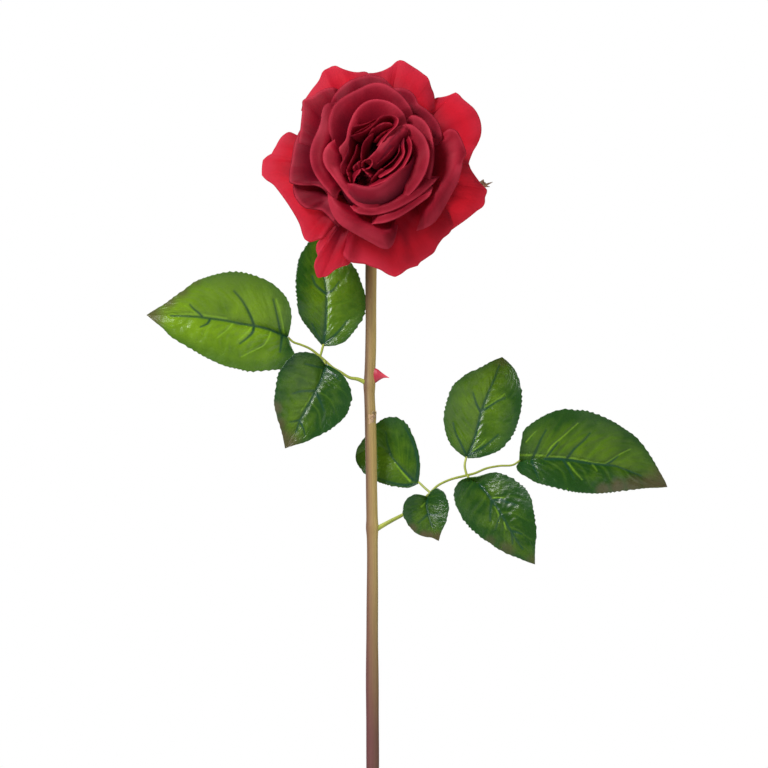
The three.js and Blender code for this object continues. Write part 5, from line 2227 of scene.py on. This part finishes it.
# The upper leaf, which grows to the left with three leaflets.
LEFT_LEAFLETS = (
    Leaflet(
        midrib=spots(
            287.5,337, 278,333, 268,329, 255,326, 240,323.5, 225,320.5, 210,318.5, 195,316.5, 180,315.8,
            165,315.3, 146.5,315),
        edges=(
            spots(
                288,336, 290,328, 291.5,318, 290,306, 286,297, 280,290, 270,282, 260,277.5, 250,274,
                240,272, 228,272, 215,274.5, 205,277.5, 195,281.5, 185,289, 175,296, 165,303.5, 155,309.5,
                146.5,315),
            spots(
                288,338, 291,346, 295,356, 292,364, 284,368.5, 272,370, 260,371, 250,371.5, 238,369,
                225,366, 213,361, 203,356, 192,349.5, 180,342.5, 170,336, 163,328.5, 155,322, 146.5,315)),
        depths=(-7, -15), arch=5, fold=(0.22, 0.18), tones=(0.92, 0.82), lobe=2,
        strokes=(
            stroke(
                0.55, 288,337, 278,333, 268,329, 255,326, 240,323.5, 225,320.5, 210,318.5, 195,316.7,
                171,315.8),
            stroke(0.42, 281,335, 278,320, 275.5,309, 273,299),
            stroke(0.5, 254,325, 250,315, 246,307, 241,299, 234,291),
            stroke(0.42, 202,316, 198,312, 194,309, 190,304.5),
            stroke(0.42, 210,319, 208,323, 204,325.5, 200.5,327),
            stroke(0.5, 254,327, 252,333, 247,338, 240,343.5),
            stroke(0.5, 282,336, 281,343, 280,352)),
        pale=(
            stroke(0.4, 226,318.5, 210,315.8, 190,313.8, 168,314.3),
            stroke(0.35, 251,328, 246,333.5, 239,339.5),
            stroke(0.3, 271,331, 268,339, 264,345, 255,350, 241,357),
            stroke(0.3, 233,323.5, 228,329, 222,334, 217,338),
            stroke(0.35, 284,334, 282.5,324, 280,312, 276,299),
            stroke(0.25, 200,315, 193,311, 184,305)),
        # painted shade, most towards the base and the lower edge
        shade_strokes=(
            wash(5, 0.75, 291,346, 288,358, 277,367),
            wash(3.2, 0.5, 289,322, 287,306, 278,293),
            wash(3.2, 0.35, 259,365, 235,364, 205,350),
            wash(4, 0.3, 262,345, 246,352, 225,350),
            wash(4, 0.22, 238,318, 222,308, 206,300)),
        stains=(
            Stain(146, 315, 12), Stain(168, 300, 6, 0.7), Stain(181, 290, 6, 0.6),
            Stain(195, 279, 5, 0.5))),
    Leaflet(
        midrib=spots(
            323,345.5, 325,330, 326,315, 326.5,300, 326.3,292, 325,282, 323,270, 322,255, 323,236),
        edges=(
            spots(
                322,345, 315,337, 308,328, 302,320, 298,310, 297,300, 296,290, 295.7,280, 297,268,
                299,258, 304,249, 310,241, 316,237, 323,235),
            spots(
                324,345.8, 335,345.5, 345,341.5, 352,334, 358,326, 364,316, 366,303, 364.5,292, 361,282,
                357,271, 350,262, 343,253, 334,243, 323,235)),
        depths=(0, 16), arch=4, fold=(0.2, 0.02), tones=(0.25, 0.45), lobe=1,
        strokes=(
            stroke(0.6, 323,345, 325,330, 326,315, 326.5,300, 325.5,286, 323,272),
            stroke(0.45, 322.5,344, 317,335, 312,324),
            stroke(0.5, 324,344, 333,337, 340,330, 347,321),
            stroke(0.5, 326.5,294, 321,290, 315,284, 312,276),
            stroke(0.45, 326.5,294, 333,290, 339,282)),
        pale=(
            stroke(0.25, 327.5,330, 328.5,315, 328.5,300),)),
    Leaflet(
        midrib=spots(
            325,364, 323,372, 320,382, 315,392, 310,402, 305,411, 300,420, 296,430, 290,440, 285,448.5),
        edges=(
            spots(
                324,363, 318,356, 312,353, 303,352, 296,353, 290,358, 283,366, 278.5,373, 276.5,382,
                275,393, 274,402, 275.5,411, 278,420, 281,430, 283,438, 285,448.5),
            spots(
                326,364, 335,369, 342,374, 347,381, 350.5,389, 352,397, 350,406, 347,414, 342,420,
                335,426, 328,431, 320,435, 312,439, 304,442.5, 295,445, 285,448.5)),
        depths=(-6, -17), arch=4, fold=(0.2, 0), tones=(0.3, 0.1), lobe=3,
        strokes=(
            stroke(0.6, 325,365, 323,372, 320,382, 315,392, 310,402, 305,411, 300,420, 296,432),
            stroke(0.45, 316,391, 308,391, 300,391.5, 293,393.5),
            stroke(0.45, 316,393, 320,401, 324,411),
            stroke(0.4, 300,420, 295,421, 290,422),
            stroke(0.4, 300,421, 303,428, 305,435),
            stroke(0.4, 323,368, 314,366, 305,364),
            stroke(0.4, 324,370, 332,373, 339,380)),
        pale=(
            stroke(0.3, 322,370, 320.5,376, 319,382),
            stroke(0.2, 312,395, 305,405, 300,412)),
        stains=(Stain(284, 446, 11), Stain(277, 425, 6), Stain(275, 408, 5), Stain(281, 436, 6))),
)
LEFT_SPRAY = Spray(
    name="leaf_left", node="spray_left",
    rachis=strand(
        -2,-1.8,389.8,1.5, -3.6,-2.1,390.9,1.2, -6.7,-2.3,392.3,0.95, -10.6,-2.7,393,0.75,
        -15.4,-3.3,395.9,0.65, -18.8,-3.8,397.8,0.62, -22.7,-4.4,401.2,0.65, -25.5,-5,403.6,0.65,
        -29.9,-5.6,407,0.58, -34.7,-6.2,409.1,0.55, -38.1,-6.6,410.3,0.55, -40.7,-7,412.6,0.55),
    stalks=(
        strand(-25.1,-5,403.4,0.6, -24.4,-3.2,405.7,0.6, -23.6,-0.2,409,0.6),
        strand(-23.2,-4.4,401.4,0.6, -23,-5.2,401,0.6, -22.7,-6.2,399.4,0.6)),
    leaflets=LEFT_LEAFLETS)

# The lower leaf, which grows to the right with five leaflets.
RIGHT_LEAFLETS = (
    Leaflet(
        midrib=spots(
            519.5,461, 530,459.5, 545,458.5, 560,458.5, 575,460, 590,462.5, 600,464, 612,465, 625,469,
            637,474, 650,479.5, 660,483.5, 667.5,487),
        edges=(
            spots(
                519.5,460, 520,450, 521.5,441, 524,430, 530,424.5, 538,419, 546,414.5, 555,411, 565,409,
                575,410, 585,410.5, 595,413.5, 605,417.5, 615,422.5, 625,429, 635,436, 643,445, 650,455,
                656,465, 661,474, 665,481, 667.5,487),
            spots(
                519,462.5, 516.5,467, 519,472, 527,477, 535,482, 545,485, 555,487.5, 565,490, 575,492,
                585,493, 597,493.5, 610,492.5, 622,491, 635,489.5, 648,488, 660,487.6, 667.5,487)),
        depths=(7, 20), arch=5, fold=(0.2, 0.5), tones=(0.35, 0.05), lobe=2,
        strokes=(
            stroke(0.5, 545,459, 560,459, 575,461, 590,463.5, 605,465, 615,466, 628,470.5, 641,475.5),
            stroke(0.45, 532,459, 537,448, 541,439, 546,430),
            stroke(0.35, 547,456, 553,449, 558,442),
            stroke(0.45, 567,458, 575,448, 583,441, 590,433),
            stroke(0.45, 607,464, 613,460, 618,456),
            stroke(0.4, 563,460, 568,468, 574,479),
            stroke(0.4, 532,462, 535,470, 538,478)),
        pale=(
            stroke(0.42, 520,455, 535,455, 548,456, 562,457, 580,459.3, 592,462, 604,463.6),
            stroke(0.32, 546,455, 552,446, 560,439, 568,432, 578,423),
            stroke(0.3, 606,463, 614,458, 620,454, 630,449),
            stroke(0.28, 568,463, 575,472, 582,480),
            stroke(0.25, 592,464, 597,471),
            stroke(0.25, 526,442, 531,436, 536,431)),
        stains=(
            Stain(667, 486, 15, 1), Stain(650, 484, 8), Stain(634, 485, 7), Stain(618, 487, 6),
            Stain(603, 490, 5, 0.8))),
    Leaflet(
        midrib=spots(
            467,457.5, 471,448, 475,437, 478,425, 481,412, 484.5,402, 489,391, 494,380, 498,369, 502,357),
        edges=(
            spots(
                466,457.5, 458,452, 451,445, 447,437, 444.5,427, 443.7,417, 445.5,406, 448,397, 450.5,390,
                454.5,383.5, 460,379, 467,373.5, 475,370, 483,366, 491,361.5, 502,357),
            spots(
                468,458, 480,457.5, 490,454.5, 500,450, 508,442, 514,433, 518,422, 521,410, 522,400,
                521.5,390, 519.5,381, 515,370, 509,363, 502,357)),
        depths=(3, 19), arch=4, fold=(0.2, 0.02), tones=(0.5, 0.26), lobe=1,
        strokes=(
            stroke(
                0.62, 467,457, 471,448, 475,437, 478,425, 481,412, 484.5,402, 489,391, 495,377, 499,366),
            stroke(0.42, 466.5,456, 461,444, 456,434, 453,423),
            stroke(0.5, 469,455, 482,448, 490,442, 498,435),
            stroke(0.45, 480.5,412, 476,403, 473,393),
            stroke(0.45, 482,411, 490,406, 498,401, 505,398)),
        pale=(
            stroke(0.28, 485,408, 493,402.5, 501,397, 504.5,394),
            stroke(0.25, 479,430, 476,440, 473,449),
            stroke(0.25, 471,453, 479,446, 486,440)),
        stains=(Stain(502, 358, 6, 0.6),)),
    Leaflet(
        midrib=spots(
            469,478, 474,481, 480,485, 486,492, 491,499, 497,507, 503,517, 510,529, 515,537, 521,547,
            528,555, 535,564.5),
        edges=(
            spots(
                468,477.5, 460,481, 455.5,487, 453.8,494, 454.5,500, 456,506, 459,511, 462,518, 466,523,
                471,529, 476.5,533.5, 483,539, 490,543, 495,547, 503,551.5, 510,555, 517,557.5, 525,561,
                535,564.5),
            spots(
                470,477.5, 478,476.5, 488,473.5, 496,472.3, 502,473.8, 509,476.5, 515,480, 520,484,
                525,488, 529,494, 532,501, 532.8,507, 534.5,515, 535.5,523, 536.5,530, 536.5,536,
                535.5,543, 535,552, 535,564.5)),
        depths=(-0.6, -11), arch=4, fold=(0.22, 0.05), tones=(0.1, 0.06), lobe=4,
        strokes=(
            stroke(0.55, 480,485, 486,492, 491,499, 497,507.5, 503,517, 509,528, 514,536, 522.5,549),
            stroke(0.5, 492,500, 500,500, 508,502.5, 516,505),
            stroke(0.45, 491.5,500, 490.5,510, 490,521),
            stroke(0.4, 511,531, 516,532, 522,534),
            stroke(0.4, 511.5,532, 512,538, 512.5,544),
            stroke(0.3, 500,516, 497.5,523, 495.5,530)),
        pale=(
            stroke(0.3, 492,498.5, 498,497.5, 505,498),
            stroke(0.3, 495,507, 498,514, 499,520),
            stroke(0.3, 504,522, 506,530)),
        stains=(Stain(490, 541, 4, 0.45), Stain(506, 550, 6, 0.5), Stain(534, 563, 6, 0.5))),
    Leaflet(
        midrib=spots(418.5,483, 409,475, 401,466, 394,458, 387,451, 379,447, 368,449, 355.5,456),
        edges=(
            spots(
                418.5,482, 420,470, 419,455, 413,436, 406,423, 395,417, 385,418, 376,424, 368,433,
                361,442.5, 357,449, 355.5,456),
            spots(
                418,484, 410,487.5, 398,487, 386,484.5, 375,480.5, 366,474.5, 360,468, 356.5,462,
                355.5,456)),
        depths=(1.2, 10), arch=2, fold=(0.15, 0.15), tones=(0.2, 0.4), lobe=0,
        strokes=(
            stroke(0.5, 413,480, 404,471, 396,462, 387,451),
            stroke(0.5, 416,481, 418,470, 417,457, 412,440, 405,427),
            stroke(0.5, 415,484.5, 403,485, 390,482.5, 377,478),
            stroke(0.35, 392,456, 388,445, 386,432)),
        pale=(
            stroke(0.4, 410,481, 402,472, 395,463),)),
    Leaflet(
        midrib=spots(427,496.5, 426.5,505, 428,513, 430,521, 433,529, 436,535, 438.8,541),
        edges=(
            spots(
                426,496.5, 421,495, 415,494.6, 409,497, 404.5,502, 402.5,509, 403.5,516, 407,523,
                412,529.5, 417,534, 424,536.8, 431,537.5, 438.8,541),
            spots(
                428,496, 432,490.5, 436,488.3, 441,490, 444.5,494, 447.5,500, 449,507, 448,514, 446.5,520,
                443.5,527, 441,533, 438.8,541)),
        depths=(-5, -13), arch=2.5, fold=(0.25, 0.25), tones=(0.12, 0), lobe=3,
        strokes=(
            stroke(0.5, 427,498, 426.5,505, 428,513, 430,521, 432,526),
            stroke(0.4, 428,514, 423,519, 418,523),
            stroke(0.4, 429,514, 435,515, 440,512)),
        pale=(
            stroke(0.25, 421,507, 425,503),),
        stains=(Stain(438, 539, 5), Stain(424, 536, 4), Stain(412, 529, 4, 0.7), Stain(430, 537, 4))),
)
RIGHT_SPRAY = Spray(
    name="leaf_right", node="spray_right",
    rachis=strand(
        1.2,-7.2,319.2,1.5, 3,-6.9,320.3,1.25, 5.8,-6.5,321.9,1.1, 10.6,-5.8,324.5,0.95,
        14.5,-5,326.5,0.85, 20.2,-4.2,330.3,0.7, 25.5,-3.2,334.7,0.62, 28,-2.6,337.1,0.62,
        31.3,-1.9,340.4,0.6, 37.6,-0.6,343.6,0.58, 44.8,0.8,345.5,0.62, 49.6,1.9,346.7,0.58,
        55.4,3.4,349.1,0.55, 61.7,4.8,350.3,0.52, 68.9,6.2,351,0.5, 71.8,7,353,0.5),
    stalks=(
        strand(45.8,0.9,346,0.6, 44.9,1.8,350.4,0.58, 45.7,3,354.8,0.55),
        strand(46.2,0.8,345.8,0.6, 46.5,0.2,345.2,0.6, 46.9,-0.7,344.4,0.6),
        strand(28.2,-2.6,337.4,0.6, 25.5,-0.6,339.7,0.58, 22.6,1.1,342.5,0.55),
        strand(27.2,-2.8,336.4,0.6, 26.8,-3.8,336.1,0.6, 26.4,-5,335.8,0.55)),
    leaflets=RIGHT_LEAFLETS)


# ------------------------------------------------------------------ vase and water


@dataclass
class BudVase:
    """The clear glass bud vase and the water in it."""

    glass: Material
    water: Material
    foot_radius: float = 29.0
    belly_radius: float = 37.5
    neck_radius: float = 9.4
    lip_radius: float = 16.0
    height: float = 190.0
    wall: float = 2.6
    floor: float = 8.0
    level: float = 102.0
    sides: int = 128
    wetting: float = 0.04

    def outside(self) -> np.ndarray:
        """Pairs of radius and height up the outside, from the foot's edge to the lip."""
        corners = ((self.foot_radius, 0.0), (self.belly_radius - 3.5, 9), (self.belly_radius, 28),
                   (self.belly_radius - 3, 50), (25, 76), (15, 106), (self.neck_radius + 0.8, 133),
                   (self.neck_radius, 155), (self.neck_radius + 2, 174),
                   (self.lip_radius, self.height))
        return smooth_line(corners, np.linspace(0, 1, 90))

    def bore(self, height: np.ndarray) -> np.ndarray:
        """The inner radius at a height."""
        radius, high = self.outside().T
        return np.interp(height, high, radius) - self.wall

    def inside(self, top: float, spare: float = 0.0) -> list[tuple[float, float]]:
        """Pairs of radius and height up the inside, from the middle of the floor.

        Args:
            top: The height to stop at.
            spare: How far the pairs go into the wall.

        Returns:
            The pairs.
        """
        base = self.floor - spare
        round_off = [(0.01, base), (10, base), (18, base), (23, base + 0.3), (27, base + 1.4),
                     (29.6, base + 3.6)]
        heights = np.linspace(self.floor + 7, top, 60)
        return round_off + [*zip(self.bore(heights) + spare, heights)]

    def build(self) -> None:
        """Make the vase and the water."""
        lip, foot = self.lip_radius, self.foot_radius
        lip_turn = [(lip - 0.5, self.height), (lip - 1.3, self.height + 0.25),
                    (lip - 2.1, self.height)]
        underside = [(0.01, 0.9), (foot - 8, 0.7), (foot - 4, 0.0), (foot - 1, 0.0)]
        profile = [*underside, *self.outside()[1:-1], *lip_turn,
                   *self.inside(self.height - 1.2)[::-1]]
        place(skin_bag(lathe(profile, self.sides)).build("vase_glass", self.glass),
              "vase")

        brim, top = float(self.bore(np.array(self.level))), self.level
        meniscus = [(brim + self.wetting, top + 0.9), (brim - 0.5, top + 0.35),
                    (brim - 1.6, top), (0.01, top)]
        body = lathe(self.inside(top, self.wetting) + meniscus, self.sides)
        place(skin_bag(body).build("water_body", self.water), "water")


# ------------------------------------------------------------------ studio


@dataclass(frozen=True)
class Lamp:
    """A soft square lamp: where it hangs and its side, in metres, and its power in watts."""

    name: str
    spot: Point
    size: float
    power: float

    def hang(self, target: Point) -> None:
        """Hang the lamp.

        Args:
            target: What it points at, in metres.
        """
        light = bpy.data.lights.new(self.name, "AREA")
        light.size = self.size
        light.energy = self.power
        lamp = linked(self.name, light)
        lamp.location = self.spot
        aim = Vector(target) - Vector(self.spot)
        lamp.rotation_euler = aim.to_track_quat("-Z", "Y").to_euler()
        lamp.visible_camera = lamp.visible_transmission = False


@dataclass
class Studio:
    """The camera, the soft lights and the pale floor."""

    floor_finish: Material
    floor_radius: float = 1.5
    floor_sides: int = 64
    far: float = 20.0
    heart: Point = (0.0, -0.04, 0.45)
    white: Colour = (1.0, 1.0, 1.0, 1.0)
    tent_glow: float = 0.14
    lamps: tuple[Lamp, ...] = (Lamp("key", (-0.9, -1.1, 1.5), 0.5, 42.0),
                               Lamp("fill", (1.1, -1.2, 0.8), 1.2, 6.0),
                               Lamp("backdrop", (0.0, 1.3, 0.5), 2.2, 16.0))

    def camera(self) -> None:
        """Stand the camera level in front of the bloom."""
        camera = bpy.data.cameras.new("camera")
        camera.lens = VIEW.lens
        camera.sensor_width = VIEW.sensor
        camera.clip_end = self.far
        stand = linked("camera", camera)
        across, height = VIEW.centre
        stand.location = (across * MM, (VIEW.focus_plane - VIEW.distance) * MM, height * MM)
        stand.rotation_euler = (math.radians(90), 0.0, 0.0)
        bpy.context.scene.camera = stand

    def world(self) -> None:
        """White all round, as in a light tent, and dimmer as a light than to the eye."""
        world = bpy.data.worlds.new("light tent")
        world.use_nodes = True
        world.node_tree.nodes.clear()
        wires = Wiring(world.node_tree)
        rays = wires.node("LightPath").outputs
        direct = wires.math("LESS_THAN", rays["Diffuse Depth"], 0.5)
        through = wires.math("GREATER_THAN", rays["Transmission Depth"], 0.5)
        seen = wires.math("MAXIMUM", rays["Is Camera Ray"], wires.times(through, direct))
        dim, full = (wires.out("Background", self.white, strength)
                     for strength in (self.tent_glow, 1.0))
        wires.node("OutputWorld", wires.mix(seen, dim, full))
        bpy.context.scene.world = world

    def floor(self) -> None:
        """Lay the pale floor."""
        turn = round_turn(self.floor_sides)
        rim = np.stack([np.cos(turn), np.sin(turn), 0 * turn], axis=1) * self.floor_radius
        mesh = bpy.data.meshes.new("floor")
        mesh.from_pydata(rim.tolist(), [], [list(range(self.floor_sides))])
        mesh.materials.append(self.floor_finish)
        linked("floor", mesh)

    def build(self) -> None:
        """Set up the camera, the lights and the floor."""
        self.camera()
        self.world()
        for lamp in self.lamps:
            lamp.hang(self.heart)
        self.floor()
        settings = bpy.context.scene.view_settings
        settings.view_transform = "Standard"
        settings.look = "None"


def main() -> None:
    """Build the studio and every piece of the rose and its vase, in order."""
    logging.basicConfig(level=logging.INFO, format="%(name)s: %(message)s")
    groups = EffectGroups()
    Studio(PaleFloor().material(groups)).build()

    sepal_skin = SepalSkin().material(groups)
    water = ClearMedium(name="still water", tint=(0.985, 0.995, 1.0, 1.0), index=1.33,
                        shadow=(0.97, 0.98, 0.985, 1.0))
    BudVase(ClearMedium().material(groups), water.material(groups)).build()
    Stem(StemBark().material(groups), ThornSkin().material(groups), sepal_skin).build()
    Calyx(sepal_skin).build()

    stalk_tree = StalkNet().tree()
    stalk_skin = GreenStalk().material(groups)
    leaf_skin = LeafLacquer().material(groups)
    for spray in (LEFT_SPRAY, RIGHT_SPRAY):
        spray.build(stalk_tree, stalk_skin, leaf_skin)
    Bloom(PetalVelvet().material(groups)).build()

    LOG.info("sizes written")


if __name__ == "__main__":
    main()
